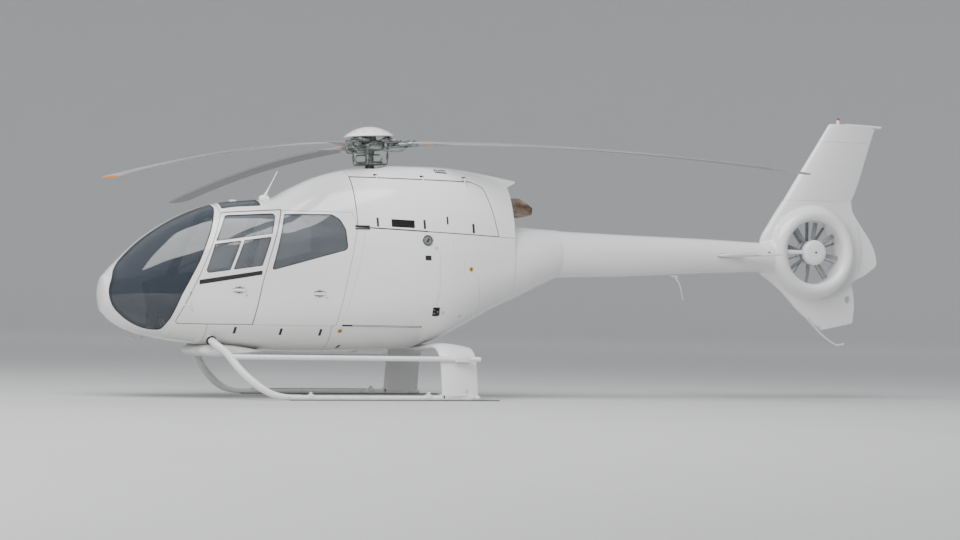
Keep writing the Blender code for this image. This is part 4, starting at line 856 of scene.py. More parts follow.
# Rear fuselage: the composite shell round the baggage space and the tank, with the wall behind the cabin.
# On the port side it has a recessed ground power socket; on the starboard side the baggage door.
SEAM_FRONT = (-0.343, 1.8885)
SEAM_REAR = (CONE_X, 1.8205)
BAGGAGE_DOOR = ((-0.250, 0.950, 0.04), (0.480, 0.950, 0.04), (0.480, 1.700, 0.04), (-0.210, 1.700, 0.04))
SOCKET = ((0.545, 0.925, 0.008), (0.638, 0.925, 0.008), (0.638, 1.025, 0.008), (0.545, 1.025, 0.008))
baggage_space = region("baggage_space", ((-0.332, FLOOR_HEIGHT), (1.540, FLOOR_HEIGHT), (1.540, 1.745),
    (-0.332, 1.790)))
cut(baggage_space, "INTERSECT", body_solid(CABIN_WALL))
rear_region = region("rear_region", ((PANEL_LINE_X + SEAM, 0.3), (CONE_X - SEAM, 0.3),
    (CONE_X - SEAM, SEAM_REAR[1] - SEAM), (SEAM_FRONT[0], SEAM_FRONT[1] - SEAM),
    (SEAM_FRONT[0], CEILING_HEIGHT - FIT_GAP), (PANEL_LINE_X + SEAM, CEILING_HEIGHT - FIT_GAP)))
socket_depth = side_at(0.59, 0.975) - 0.026
shell("rear_fuselage_shell", "rear_fuselage", rear_region, [cabin_space, baggage_space,
    region("baggage_opening", BAGGAGE_DOOR, 0.0, OUT, BAGGAGE_GAP), sliding_opening(-1.0),
    sliding_opening(1.0), region("socket", SOCKET, -OUT, -socket_depth)])
shell("baggage_door_panel", "baggage_door", region("outline", BAGGAGE_DOOR, 0.0, OUT),
    [body_solid(CABIN_WALL)], "baggage_door_body")
band("baggage_door_seal", region("outer", BAGGAGE_DOOR, 0.0, OUT, BAGGAGE_GAP),
    region("inner", BAGGAGE_DOOR, 0.0, OUT, 0.004), 0.0045, 0.020, grey_rubber)
BAGGAGE_HINGE = Vector((-0.240, 0.762, 1.325))
for number, height in enumerate((1.100, 1.550)):
    feet = [Vector((x, side_at(x, height) - HINGE_DEPTH, height)) for x in (-0.285, -0.180)]
    hinge(f"baggage_door_hinge_{number}", Vector((*BAGGAGE_HINGE.xy, height)), Vector((0.0, 0.0, 1.0)),
        *feet, "baggage_door_body")

# Cowling over the gearbox and the engine: a fixed front, a fixed spine with the rear end, and two doors.
# They are thin moulded shells, gloss white, held by hinges along the shoulder and dark latches below.
COWL_DOOR = ((-0.335, 1.8965), (1.372, 1.8365), (1.310, 2.130), (1.235, 2.385, 0.12), (1.090, 2.443),
    (-0.335, 2.455))
AIR_INLET = ((0.052, 1.905, 0.01), (0.328, 1.897, 0.01), (0.328, 1.984, 0.01), (0.052, 1.992, 0.01))
EXHAUST_PLACE = Vector((1.55, 0.0, 2.190))
EXHAUST_RADIUS = 0.115
COWL_HINGE_Y = 0.340
COWL_HINGE_Z = 2.493
cowl_space = region("cowl_space", ((-1.090, 1.5), (1.480, 1.5), (1.460, 2.9), (-1.090, 2.9)))
cut(cowl_space, "INTERSECT", body_solid(COWL_WALL))
cowl_space.hide_render = True
shell("front_cowl_shell", "front_cowl", region("front_cowl",
    ((COWL_FRONT_X + FIT_GAP, ROOF_TOP_HEIGHT + FIT_GAP), (COWL_SPLIT_X - SEAM, ROOF_TOP_HEIGHT + FIT_GAP),
    (COWL_SPLIT_X - SEAM, 2.9), (COWL_FRONT_X + FIT_GAP, 2.9))), [cowl_space])
mast_hole = turned("mast_hole", ((0.0, 2.4), (0.190, 2.4), (0.190, 2.9), (0.0, 2.9)))
exhaust_hole = turned("exhaust_hole", ((0.0, -0.25), (EXHAUST_RADIUS + 0.020, -0.25),
    (EXHAUST_RADIUS + 0.020, 0.35), (0.0, 0.35)), "X", EXHAUST_PLACE)
shell("cowl_spine_shell", "cowl_spine", region("cowl_spine",
    ((SEAM_FRONT[0], SEAM_FRONT[1] + SEAM), (SEAM_REAR[0] - SEAM, SEAM_REAR[1] + SEAM),
    (SEAM_REAR[0] - SEAM, 2.000), (1.582, 2.260), (1.568, 2.405, 0.02), (1.700, 2.462),
    (1.728, 2.482, 0.012), (1.715, 2.900), (SEAM_FRONT[0], 2.900))),
    [cowl_space, mast_hole, exhaust_hole, *[region("door", COWL_DOOR, *half_range(sign), COWL_GAP)
    for side, sign in SIDES]])
for side, sign in SIDES:
    limits, body = half_range(sign), f"cowl_door_{side}_body"
    shell(f"cowl_door_{side}_panel", f"cowl_door_{side}", region("outline", COWL_DOOR, *limits),
        [cowl_space, region("inlet", AIR_INLET, *limits)], body)
    band(f"cowl_door_{side}_seal", region("outer", COWL_DOOR, *limits, COWL_GAP),
        region("inner", COWL_DOOR, *limits, 0.005), 0.006, 0.010, grey_rubber)
    for number, x in enumerate((-0.048, 0.501, 1.000)):
        feet = [Vector((x, sign * y, top_at(x, y) - 0.012)) for y in (0.300, 0.405)]
        hinge(f"cowl_door_{side}_hinge_{number}", Vector((x, sign * COWL_HINGE_Y, COWL_HINGE_Z)),
            Vector((1.0, 0.0, 0.0)), *feet, body, rubber)

# Tail cone and tail boom: rolled and riveted light alloy, gloss white, the boom let into the cone.
# A doubler band with one row of rivets runs round each joint.
CONE_SECTIONS = np.array(((CONE_X + SEAM, 0.458, 1.083, 1.500, 1.985, 2.0, 2.3),
    (1.800, 0.405, 1.172, 1.545, 1.968, 2.0, 2.2), (2.020, 0.345, 1.279, 1.605, 1.952, 2.0, 2.1),
    (BOOM_X - FIT_GAP, 0.285, 1.385, 1.662, 1.940, 2.0, 2.0),))
BOOM_SECTIONS = np.array(((BOOM_X, 0.278, 1.392, 1.662, 1.932, 2.0, 2.0),
    (3.070, 0.245, 1.420, 1.665, 1.910, 2.0, 2.0), (4.360, 0.200, 1.490, 1.685, 1.880, 2.0, 2.0),
    (FIN_X - FIT_GAP, 0.175, 1.510, 1.685, 1.860, 2.0, 2.0),))


def tail_tube(name, table, steps, low=None, high=None, extra=0.0):
    places = np.linspace(table[0, 0] if low is None else low, table[-1, 0] if high is None else high, steps)
    rings = []
    for x, row in zip(places, smooth_rows(table, places)):
        half_width, lowest, wide, highest, full_low, full_high = row
        rings.append(oval(x, (half_width + extra, lowest - extra, wide, highest + extra, full_low,
            full_high), 96))
    return skin(name, rings)


def rivets(name, spots, size=0.0035, finish=None):
    """Flat domed rivet heads at (place, outward direction); each is modelled once and copied."""
    bpy.ops.mesh.primitive_uv_sphere_add(segments=8, ring_count=4, radius=size)
    first = bpy.context.object
    first.data.transform(Matrix.Diagonal((1.0, 1.0, 0.45, 1.0)))
    heads = []
    for place, out in spots:
        head = copy_of(first, "rivet")
        head.data.transform(Matrix.Translation(place) @ pointing(out))
        heads.append(head)
    bpy.data.objects.remove(first, do_unlink=True)
    return fit(join(name, heads), finish or white_paint, slot="white_paint")


def ring_spots(table, x, count, extra=0.0):
    ring = oval(x, smooth_rows(table, [x])[0], count)
    middle = Vector((x, 0.0, ring[:, 2].mean()))
    return [(Vector(place) + (Vector(place) - middle).normalized() * extra, Vector(place) - middle)
        for place in ring]


fit(tail_tube("tail_cone_shell", CONE_SECTIONS, 28), white_paint, "tail_cone")
boom = tail_tube("tail_boom_tube", BOOM_SECTIONS, 60)
STABILISER_Z = 1.690
STABILISER_LEADING_X = 4.240
STABILISER_CHORD = 0.340
STABILISER_THICKNESS = 0.045


def aerofoil(share):
    """The form of an aerofoil's half thickness along its chord."""
    return (0.2969 * math.sqrt(share) - 0.126 * share - 0.3516 * share ** 2 + 0.2843 * share ** 3
        - 0.1015 * share ** 4)


def wing_section(chord, thickness, steps=20):
    """An aerofoil's outline as (along the chord from its leading edge, across)."""
    upper = []
    for index in range(steps + 1):
        share = (index / steps) ** 1.7
        upper.append((share * chord, 5.0 * thickness * aerofoil(share)))
    return upper + [(along, -across) for along, across in reversed(upper[1:])]


def stabiliser_form(name, extra=0.0):
    """The wing from tip to tip, its tips rounded off within the span."""
    rings = []
    for share, y in [(0.55, -1.300), (0.86, -1.294), (0.97, -1.280), (1.0, -1.255), (1.0, -0.6), (1.0, 0.0),
            (1.0, 0.6), (1.0, 1.255), (0.97, 1.280), (0.86, 1.294), (0.55, 1.300)]:
        chord = (STABILISER_CHORD + 2 * extra) * (0.5 + 0.5 * share)
        section = wing_section(chord, (STABILISER_THICKNESS + 2 * extra) * share)
        lead = STABILISER_LEADING_X - extra + (STABILISER_CHORD + 2 * extra - chord) * 0.5
        rings.append(np.array([(lead + along, y, STABILISER_Z + across) for along, across in section]))
    return skin(name, rings)


cut(boom, "DIFFERENCE", stabiliser_form("slot", 0.004))
fit(boom, white_paint, "tail_boom")
fit(stabiliser_form("stabiliser_wing"), white_paint, "stabiliser")
fit(tail_tube("boom_joint_band", BOOM_SECTIONS, 2, BOOM_X + 0.004, BOOM_X + 0.060, 0.0015), white_paint)
fit(tail_tube("fin_joint_band", BOOM_SECTIONS, 2, FIN_X - 0.050, FIN_X - 0.002, 0.0012), white_paint)
rivets("tail_rivets", ring_spots(CONE_SECTIONS, CONE_X + 0.025, 56)
    + ring_spots(CONE_SECTIONS, BOOM_X - 0.030, 48) + ring_spots(BOOM_SECTIONS, BOOM_X + 0.032, 44, 0.0015)
    + ring_spots(BOOM_SECTIONS, 3.070, 36) + ring_spots(BOOM_SECTIONS, FIN_X - 0.026, 32, 0.0012))

# Fin and fan housing: one composite moulding in which the duct's wide rounded lip runs out into the fin.
# Its thickness at each place is the larger of the fin's, the lip's and the boom's, blended where they meet.
FAN_CENTRE = Vector((5.570, 0.0, 1.756))
DUCT_RADIUS = 0.375
LIP_RADIUS = 0.450
LIP_HEIGHT = 0.195
DUCT_HALF_WIDTH = 0.115
SHOULDER_BLEND, LIP_BLEND = 0.04, 0.055
RING_RADIUS = 0.570
UPPER_FIN_Z = 2.380
CAP_Z = 3.100
FIN_SECTIONS = np.array((
    # height, leading x, trailing x, thickness
    (0.780, 5.800, 6.170, 0.050),
    (1.020, 5.460, 6.170, 0.085),
    (1.310, 5.160, 6.150, 0.130),
    (1.385, 5.060, 6.130, 0.150),
    (1.520, FIN_X + 0.015, 6.345, 0.190),
    (1.640, FIN_X + 0.015, 6.470, 0.200),
    (1.720, FIN_X + 0.015, 6.460, 0.200),
    (1.905, FIN_X + 0.030, 6.385, 0.190),
    (2.090, 5.015, 6.250, 0.175),
    (2.290, 5.145, 6.125, 0.160),
    (2.370, 5.200, 6.115, 0.155),
    (2.450, 5.250, 6.150, 0.150),
    (3.100, 5.670, 6.370, 0.105),
    (3.400, 5.862, 6.472, 0.085),
))
FIN_OUTLINE = ((4.700, 1.2), (5.160, 1.2), (5.760, 0.835, 0.03), (6.150, 0.915, 0.04), (6.200, 1.380),
    (6.600, 1.4), (6.600, 3.0), (6.435, 3.310, 0.02), (5.808, 3.318, 0.06), (5.236, 2.450), (4.700, 2.0))
SHOULDER = np.array((
    # x, half width, lowest, highest
    (FIN_X - 0.100, 0.176, 1.510, 1.860), (FIN_X, 0.172, 1.512, 1.858), (5.060, 0.158, 1.475, 1.915),
    (5.300, 0.140, 1.430, 1.990), (5.420, 0.100, 1.430, 1.990)))


fin_heights = np.linspace(FIN_SECTIONS[0, 0], FIN_SECTIONS[-1, 0], 525)
fin_rows = smooth_rows(FIN_SECTIONS, fin_heights)
shoulder_places = np.linspace(SHOULDER[0, 0], SHOULDER[-1, 0], 105)
shoulder_rows = smooth_rows(SHOULDER, shoulder_places)


def fin_thickness(x, z):
    """Half the fin's thickness at a place, 0 outside its edges."""
    lead, trail, thick = [np.interp(z, fin_heights, column) for column in fin_rows.T]
    share = (x - lead) / (trail - lead)
    if not 0.0 < share < 1.0:
        return 0.0
    return 5.0 * thick * aerofoil(share)


def lip_thickness(radius):
    if radius <= LIP_RADIUS:
        share = (LIP_RADIUS - radius) / (LIP_RADIUS - DUCT_RADIUS)
        return DUCT_HALF_WIDTH + (LIP_HEIGHT - DUCT_HALF_WIDTH) * math.sqrt(max(0.0, 1.0 - share ** 2))
    share = min(1.0, (radius - LIP_RADIUS) / (RING_RADIUS - LIP_RADIUS))
    return LIP_HEIGHT * math.sqrt(1.0 - share ** 2)


def shoulder_thickness(x, z):
    if x > SHOULDER[-1, 0]:
        return 0.0
    half_width, low, high = [np.interp(x, shoulder_places, column) for column in shoulder_rows.T]
    share = abs(z - (low + high) / 2.0) / ((high - low) / 2.0)
    return half_width * math.sqrt(max(0.0, 1.0 - share ** 2)) if share < 1.0 else 0.0


def blended(first, second, width):
    """The larger of two, with a fillet of some width where they are nearly equal."""
    near = max(width - abs(first - second), 0.0) / width
    return max(first, second) + near * near * width * 0.25


def housing_thickness(x, z, radius):
    """Half the fan housing's thickness at a place, radius away from the duct's middle."""
    fin = blended(fin_thickness(x, z), shoulder_thickness(x, z), SHOULDER_BLEND)
    return max(blended(fin, lip_thickness(radius), LIP_BLEND), 0.003)


def in_housing(x, z):
    """True inside the side outline of the fan housing."""
    if not FIN_X <= x or z > UPPER_FIN_Z - SEAM:
        return False
    if math.hypot(x - FAN_CENTRE.x, z - FAN_CENTRE.z) < RING_RADIUS - 0.030:
        return True
    if fin_thickness(x, z) <= 0.0 and shoulder_thickness(x, z) <= 0.0:
        return False
    lower = z - (0.835 + (x - 5.760) * 0.080 / 0.390)
    return lower > 0.0 and (z > 1.39 or x < 6.150 + 0.050 * (z - 0.915) / 0.465)


HOUSING_ANGLES = 288
HOUSING_STEPS = 34
housing_rings = []
for number in range(HOUSING_ANGLES + 1):
    angle = 2.0 * math.pi * (number % HOUSING_ANGLES) / HOUSING_ANGLES
    ray = Vector((math.cos(angle), 0.0, math.sin(angle)))
    reach = RING_RADIUS - 0.040
    while reach < 1.4 and in_housing(FAN_CENTRE.x + ray.x * reach, FAN_CENTRE.z + ray.z * reach):
        reach += 0.004
    edge, outside = reach - 0.004, reach
    for halving in range(12):
        middle = (edge + outside) / 2.0
        if in_housing(FAN_CENTRE.x + ray.x * middle, FAN_CENTRE.z + ray.z * middle):
            edge = middle
        else:
            outside = middle
    half = [(DUCT_RADIUS, share * DUCT_HALF_WIDTH) for share in (0.0, 0.5)]
    for step in range(HOUSING_STEPS + 1):
        share = step / HOUSING_STEPS
        radius = DUCT_RADIUS + (edge - DUCT_RADIUS) * (share ** 1.5 if share < 1.0 else 1.0)
        x, z = FAN_CENTRE.x + ray.x * radius, FAN_CENTRE.z + ray.z * radius
        half.append((radius, housing_thickness(x, z, radius)))
    profile = half + [(radius, -across) for radius, across in reversed(half[1:])]
    housing_rings.append(np.array([FAN_CENTRE + ray * radius + Vector((0.0, across, 0.0))
        for radius, across in profile]))
housing = skin("fan_housing_moulding", housing_rings)
bpy.ops.mesh.primitive_cylinder_add(vertices=40, radius=0.045, depth=0.6, location=(6.080, 0.0, 1.200),
    rotation=(math.pi / 2, 0.0, 0.0))
tail_hole = bpy.context.object
bpy.ops.object.transform_apply()
cut(housing, "DIFFERENCE", tail_hole)
fit(housing, white_paint, "fan_housing", angle=40.0)


def fin_form(name, low, high, steps):
    rings = []
    for z in np.linspace(low, high, steps):
        lead, trail, thick = smooth_rows(FIN_SECTIONS, [z])[0]
        rings.append(np.array([(lead + along, across, z) for along, across in wing_section(trail - lead,
            thick, 28)]))
    return skin(name, rings)


fit(fin_form("upper_fin_panel", UPPER_FIN_Z, CAP_Z - SEAM, 20), white_paint, "upper_fin", angle=45.0)
fin_top = fin_form("fin_cap_moulding", CAP_Z, 3.400, 8)
cut(fin_top, "INTERSECT", board("outline", rounded(FIN_OUTLINE), "XZ", -0.4, 0.4))
fin_top = join("fin_cap_moulding", [fin_top, rod("bar", [(6.020, 0.0, 3.314), (6.200, 0.0, 3.308),
    (6.500, 0.0, 3.298), (6.520, 0.0, 3.297)], 0.017, (0.8, 1.0, 1.0, 0.8), 16)])
fit(fin_top, white_paint, "fin_cap", angle=45.0)
red_glass = Finish("red_lens", "dark_trim", (0.34, 0.02, 0.015), 0.08, Coat_Weight=1.0)
red_glass.roughen(0.05, 0.1, 90.0)
BEACON_PLACE = (5.930, 0.0, 0.0)
beacon_lens = turned("beacon_lens", ((0.0, 3.365), (0.018, 3.365), (0.018, 3.378), (0.014, 3.390),
    (0.007, 3.396), (0.0, 3.3975)), "Z", BEACON_PLACE, 32)
fit(beacon_lens, red_glass)
fit(turned("beacon_post", ((0.0, 3.290), (0.024, 3.290), (0.024, 3.322), (0.019, 3.328), (0.019, 3.3648),
    (0.0, 3.3648)), "Z", BEACON_PLACE, 32), white_paint)

# Fan gearbox fairing and stator vanes: a white turned cover on one long strut, ten grey vanes behind it.
# The vanes are bonded into the duct.
AXLE_RADIUS = 0.030
FAN_VANES = 10
fan_metal = Finish("fan_metal", "fan_metal", (0.27, 0.28, 0.30), 0.40, 0.4)
wear = fan_metal.noise(14.0, 5.0)
fan_metal.paint(wear, (0.20, 0.21, 0.23), (0.36, 0.37, 0.39))
fan_metal.set("Roughness", wear * 0.35 + 0.22)
cover = turned("gearbox_fairing", ((0.0, -0.1645), (0.085, -0.1635), (0.120, -0.1590), (0.140, -0.1480),
    (0.149, -0.1330), (0.150, -0.1180), (0.150, -0.0780), (AXLE_RADIUS, -0.0780), (AXLE_RADIUS, 0.0180),
    (0.140, 0.0180), (0.143, 0.0700), (0.138, 0.1150), (0.120, 0.1480), (0.085, 0.1690), (0.040, 0.1740),
    (0.0, 0.1750)), "Y", FAN_CENTRE, 96)
strut_rings = []
for x, half_height, half_width in ((5.170, 0.030, 0.020), (5.300, 0.026, 0.021), (5.480, 0.022, 0.022),
        (5.560, 0.019, 0.022)):
    strut_rings.append(np.array([(x, -0.122 + half_width * math.cos(turn),
        FAN_CENTRE.z + half_height * math.sin(turn)) for turn in turns(24)]))
fit(join("fan_gearbox_fairing", [cover, skin("strut", strut_rings)]), white_paint, "fan_vanes")
hub_dot = turned("fairing_plug", ((0.0, -0.1675), (0.009, -0.1672), (0.013, -0.1655), (0.013, -0.1600),
    (0.0, -0.1600)), "Y", FAN_CENTRE, 24)
fit(hub_dot, rubber)


def vane_form(name, rows, centre, bearing, steps=8):
    """A blade or vane of (radius, chord, thickness, pitch in degrees, place across the duct)."""
    rings = []
    for radius, chord, thickness, pitch, across in rows:
        turn = Matrix.Rotation(math.radians(pitch), 2)
        flat = [turn @ Vector((along - chord * 0.4, up)) for along, up in wing_section(
            chord, thickness, steps)]
        rings.append(np.array([(radius, across + v.y, v.x) for v in flat]))
    obj = skin(name, rings)
    obj.data.transform(Matrix.Translation(centre) @ Matrix.Rotation(bearing, 4, "Y"))
    return obj


vanes = [vane_form("vane", [(radius, 0.062, 0.012, 78.0, 0.072) for radius in (0.110, 0.200, 0.300, 0.374)],
    FAN_CENTRE, math.radians(360.0 * (number + 0.5) / FAN_VANES)) for number in range(FAN_VANES)]
fit(join("stator_vanes", vanes), fan_metal)

# Tail fan: a turned light alloy wheel with eight twisted blades, turning on the fixed axle.
# Each blade is held in the wheel by a small collar.
FAN_RADIUS = 0.3665
FAN_BLADES = 8
FAN_LOW, FAN_HIGH = -0.070, 0.010
BEARING_GAP = 0.0006
wheel = turned("wheel", ((AXLE_RADIUS + BEARING_GAP, FAN_LOW), (0.134, FAN_LOW), (0.143, FAN_LOW + 0.006),
    (0.145, FAN_LOW + 0.014), (0.145, FAN_HIGH - 0.014), (0.143, FAN_HIGH - 0.006), (0.134, FAN_HIGH),
    (AXLE_RADIUS + BEARING_GAP, FAN_HIGH)), "Y", FAN_CENTRE, 72)
fan_parts = [wheel]
for number in range(FAN_BLADES):
    bearing = math.radians(360.0 * number / FAN_BLADES + 10.0)
    middle = (FAN_LOW + FAN_HIGH) / 2.0
    fan_parts.append(vane_form("blade", [(0.130, 0.030, 0.020, 34.0, middle),
        (0.160, 0.034, 0.018, 32.0, middle), (0.185, 0.054, 0.011, 30.0, middle),
        (0.245, 0.056, 0.010, 26.0, middle), (0.320, 0.055, 0.008, 21.0, middle),
        (FAN_RADIUS, 0.052, 0.006, 18.0, middle)], FAN_CENTRE, bearing, 10))
    collar = rod("collar", [(0.138, middle, 0.0), (0.150, middle, 0.0), (0.156, middle, 0.0)], 0.022,
        (1.0, 1.0, 0.85), 20)
    collar.data.transform(Matrix.Translation(FAN_CENTRE) @ Matrix.Rotation(bearing, 4, "Y"))
    fan_parts.append(collar)
fit(join("tail_fan_wheel", fan_parts), fan_metal, "tail_fan", body="tail_rotor")

# Fittings on the tail: skid of bent tube, lights on the stabiliser's tips, boom aerial and rear cover.
# The skid is clamped to the lower fin by two bolts.
skid_paint = Finish("landing_gear_paint", "skid_paint", (0.78, 0.78, 0.77), 0.30, Coat_Weight=0.3,
    Coat_Roughness=0.15)
scuffs = skid_paint.noise(26.0, 6.0, (0.4, 1.0, 1.0))
near_floor = 1.0 - skid_paint.axis("Z").ramp(-0.50, -0.40)
skid_paint.paint(scuffs.ramp(0.52, 0.78) * (near_floor * 0.55 + 0.10),
    skid_paint.mix(skid_paint.noise(2.0), (0.79, 0.79, 0.78), (0.74, 0.74, 0.73)), (0.33, 0.31, 0.28))
skid_paint.set("Roughness", scuffs * 0.30 + 0.18)
skid_paint.bump(scuffs, 0.0003, 0.3)
tail_skid = rod("tail_skid_tube", [(5.470, 0.0, 1.030), (5.900, 0.0, 0.672), (5.960, 0.0, 0.645),
    (6.050, 0.0, 0.662)], 0.012, None, 20, 10)
fit(tail_skid, skid_paint, "tail_skid")
clamps = []
for x, z in ((5.560, 0.962), (5.690, 0.868)):
    for sign in (-1.0, 1.0):
        bpy.ops.mesh.primitive_cylinder_add(vertices=6, radius=0.009, depth=0.010,
            location=(x, sign * 0.036, z), rotation=(math.pi / 2, 0.0, 0.0))
        clamps.append(finish_with(bpy.context.object, "BEVEL", width=0.0015, segments=2))
        bpy.ops.object.transform_apply()
fit(join("tail_skid_bolts", clamps), bright_metal)
aerial = rod("boom_aerial", [(3.800, 0.0, 1.445), (3.820, 0.0, 1.400), (3.850, 0.0, 1.360),
    (3.875, 0.0, 1.270), (3.902, 0.0, 1.156)], 0.0065, (2.6, 1.9, 1.2, 0.8, 0.6), 14, 4)
foot = egg("foot", (0.060, 0.018, 0.014))
foot.data.transform(Matrix.Translation((3.790, 0.0, 1.440)))
fit(join("boom_aerial", [aerial, foot]), white_paint)
green_glass = Finish("green_lens", "dark_trim", (0.02, 0.40, 0.10), 0.08, Coat_Weight=1.0)
green_glass.roughen(0.05, 0.1, 90.0)
for side, sign, lens_finish in (("port", -1.0, red_glass), ("starboard", 1.0, green_glass)):
    lens = egg("lens", (0.030, 0.016, 0.022))
    lens.data.transform(Matrix.Translation((STABILISER_LEADING_X + 0.135, sign * 1.284,
        STABILISER_Z + 0.008)))
    fit(lens, lens_finish).name = f"navigation_light_{side}"


def strip_on(name, spots, half, up, finish=None):
    """A thin strip through (place, outward direction), half its width each way along its own plane."""
    rings = []
    for index, (place, out) in enumerate(spots):
        place, out = Vector(place), Vector(out).normalized()
        along = (Vector(spots[min(index + 1, len(spots) - 1)][0])
            - Vector(spots[max(index - 1, 0)][0])).normalized()
        across = along.cross(out).normalized()
        rings.append(np.array([place + across * a + out * b for a, b in ((half, -up * 3.0), (half, up),
            (-half, up), (-half, -up * 3.0))]))
    obj = skin(name, rings)
    return fit(obj, finish or grey_rubber, slot="dark_trim")


def fin_spot(x, z, sign, extra=0.0):
    y = housing_thickness(x, z, math.hypot(x - FAN_CENTRE.x, z - FAN_CENTRE.z))
    return (x, sign * (y + extra), z), (0.10, sign, 0.0)


rear_cover = [(6.215 + 0.035 * math.sin(math.pi * share) - 0.02 * share, 1.540 + 0.560 * share)
    for share in np.linspace(0.0, 1.0, 15)]
for side, sign in SIDES:
    strip_on(f"rear_cover_line_{side}", [fin_spot(x, z, sign) for x, z in rear_cover], 0.0016, 0.0004)
rivets("rear_cover_rivets", [fin_spot(x + 0.022, z, sign) for x, z in rear_cover for side, sign in SIDES],
    0.0055, grey_rubber)

# Main rotor, in the axes of its mast, which leans 2.7 degrees forward: steel mast, plate and links.
# The head is a forged star with three arms, elastomer bearings and dampers, all grey green metal.
MAST_TILT = math.radians(2.7)
MAST_FOOT = Vector((0.0, 0.0, 2.500))
HUB_ABOVE_FOOT = 0.340
BLADE_BEARINGS = (-17.0, 103.0, 223.0)
SLEEVE_END = 0.560
HUB_LOW, HUB_HIGH = -0.065, 0.055
MAST_LOW = FIT_GAP - HUB_ABOVE_FOOT
mast_axes = (Matrix.Translation(MAST_FOOT + HUB_ABOVE_FOOT * Vector(
    (-math.sin(MAST_TILT), 0.0, math.cos(MAST_TILT)))) @ Matrix.Rotation(-MAST_TILT, 4, "Y"))
hub_metal = Finish("rotor_head_metal", "hub_metal", (0.30, 0.33, 0.31), 0.38, 0.65)
grime = hub_metal.noise(22.0, 6.0)
hub_metal.paint(grime.ramp(0.35, 0.75), (0.32, 0.36, 0.335), (0.075, 0.08, 0.075))
hub_metal.set("Roughness", grime * 0.4 + 0.2)
hub_metal.bump(hub_metal.noise(160.0, 3.0), 0.0003, 0.4)


def on_mast(obj, finish, *nodes, bearing=0.0, angle=32.0):
    obj.data.transform(mast_axes @ Matrix.Rotation(math.radians(bearing), 4, "Z"))
    return fit(obj, finish, *nodes, body="main_rotor", angle=angle)


on_mast(turned("rotor_mast_tube", ((0.0, MAST_LOW), (0.075, MAST_LOW), (0.075, MAST_LOW + 0.012),
    (0.060, MAST_LOW + 0.030), (0.052, -0.270), (0.052, -0.262), (0.056, -0.258), (0.056, -0.246),
    (0.048, -0.240), (0.048, -0.110), (0.058, -0.104), (0.058, HUB_LOW - FIT_GAP),
    (0.0, HUB_LOW - FIT_GAP))), hub_metal, "rotor_mast")
hub_parts = [turned("centre", ((0.0, HUB_LOW), (0.135, HUB_LOW), (0.142, -0.061), (0.172, -0.034),
    (0.176, -0.026), (0.176, 0.020), (0.172, 0.027), (0.124, 0.052), (0.116, HUB_HIGH), (0.092, HUB_HIGH),
    (0.086, 0.060), (0.080, 0.088), (0.0, 0.090)), steps=72)]


bolt_heads = {}


def bolt(place, radius=0.011, height=0.016):
    """A hexagon head on its washer, axis up; each size is modelled once and copied."""
    if (radius, height) not in bolt_heads:
        bpy.ops.mesh.primitive_cylinder_add(vertices=6, radius=radius, depth=height)
        head = finish_with(bpy.context.object, "BEVEL", width=radius * 0.14, segments=2)
        washer = turned("washer", ((0.0, -height * 0.62), (radius * 1.4, -height * 0.62),
            (radius * 1.4, -height * 0.42), (0.0, -height * 0.42)), steps=24)
        bolt_heads[radius, height] = join("bolt", [head, washer])
        bolt_heads[radius, height].hide_render = True
    both = copy_of(bolt_heads[radius, height], "bolt")
    both.hide_render = False
    both.data.transform(Matrix.Translation(place))
    return both


for bearing in BLADE_BEARINGS:
    arm_parts = [box("upper_fork", (0.110, -0.055, 0.020), (0.420, 0.055, 0.040), 0.005, 3),
        box("lower_fork", (0.110, -0.055, -0.040), (0.420, 0.055, -0.020), 0.005, 3),
        turned("bearing", ((0.0, -0.020), (0.050, -0.020), (0.050, -0.012), (0.043, -0.010),
        (0.043, -0.003), (0.050, -0.001), (0.050, 0.006), (0.043, 0.008), (0.043, 0.014), (0.050, 0.016),
        (0.050, 0.020), (0.0, 0.020)), "Z", (0.250, 0.0, 0.0), 40),
        rod("spindle", [(0.200, 0, 0), (0.300, 0, 0), (0.380, 0, 0), (0.400, 0, 0), (0.470, 0, 0),
        (0.540, 0, 0), (SLEEVE_END, 0, 0)], 0.033, (0.7, 0.7, 0.8, 1.0, 1.0, 0.98, 0.90), 28),
        box("sleeve_plate", (0.400, -0.042, -0.012), (0.555, 0.042, 0.012), 0.006, 3),
        box("horn", (0.230, 0.050, -0.025), (0.270, 0.150, -0.004), 0.006, 3)]
    for side in (-1.0, 1.0):
        arm_parts.append(rod("damper", [(0.330, side * 0.078, 0.0), (0.350, side * 0.078, 0.0),
            (0.420, side * 0.070, 0.0), (0.440, side * 0.068, 0.0)], 0.020, (0.75, 1.0, 1.0, 0.75), 20))
        arm_parts.append(rod("damper_pin", [(0.385, side * 0.072, -0.030), (0.385, side * 0.072, 0.030)],
            0.008, None, 14))
        arm_parts.append(rod("strut", [(0.125, side * 0.078, 0.048), (0.150, side * 0.084, 0.050),
            (0.290, side * 0.092, 0.048), (0.315, side * 0.092, 0.046)], 0.019, (0.6, 1.0, 1.0, 0.6), 18))
        arm_parts.append(rod("lower_pipe", [(0.120, side * 0.060, -0.045), (0.260, side * 0.062, -0.072),
            (0.380, side * 0.060, -0.066), (0.450, side * 0.035, -0.012)], 0.008, None, 10, 5))
    arm_parts += [bolt((x, y, 0.044)) for x, y in ((0.150, 0.030), (0.150, -0.030), (0.360, 0.032),
        (0.360, -0.032))]
    arm_parts += [bolt((x, 0.0, 0.040), 0.014, 0.014) for x in (0.445, 0.510)]
    for part in arm_parts:
        part.data.transform(Matrix.Rotation(math.radians(bearing), 4, "Z"))
    hub_parts += arm_parts
on_mast(join("rotor_head", hub_parts), hub_metal, "rotor_hub")
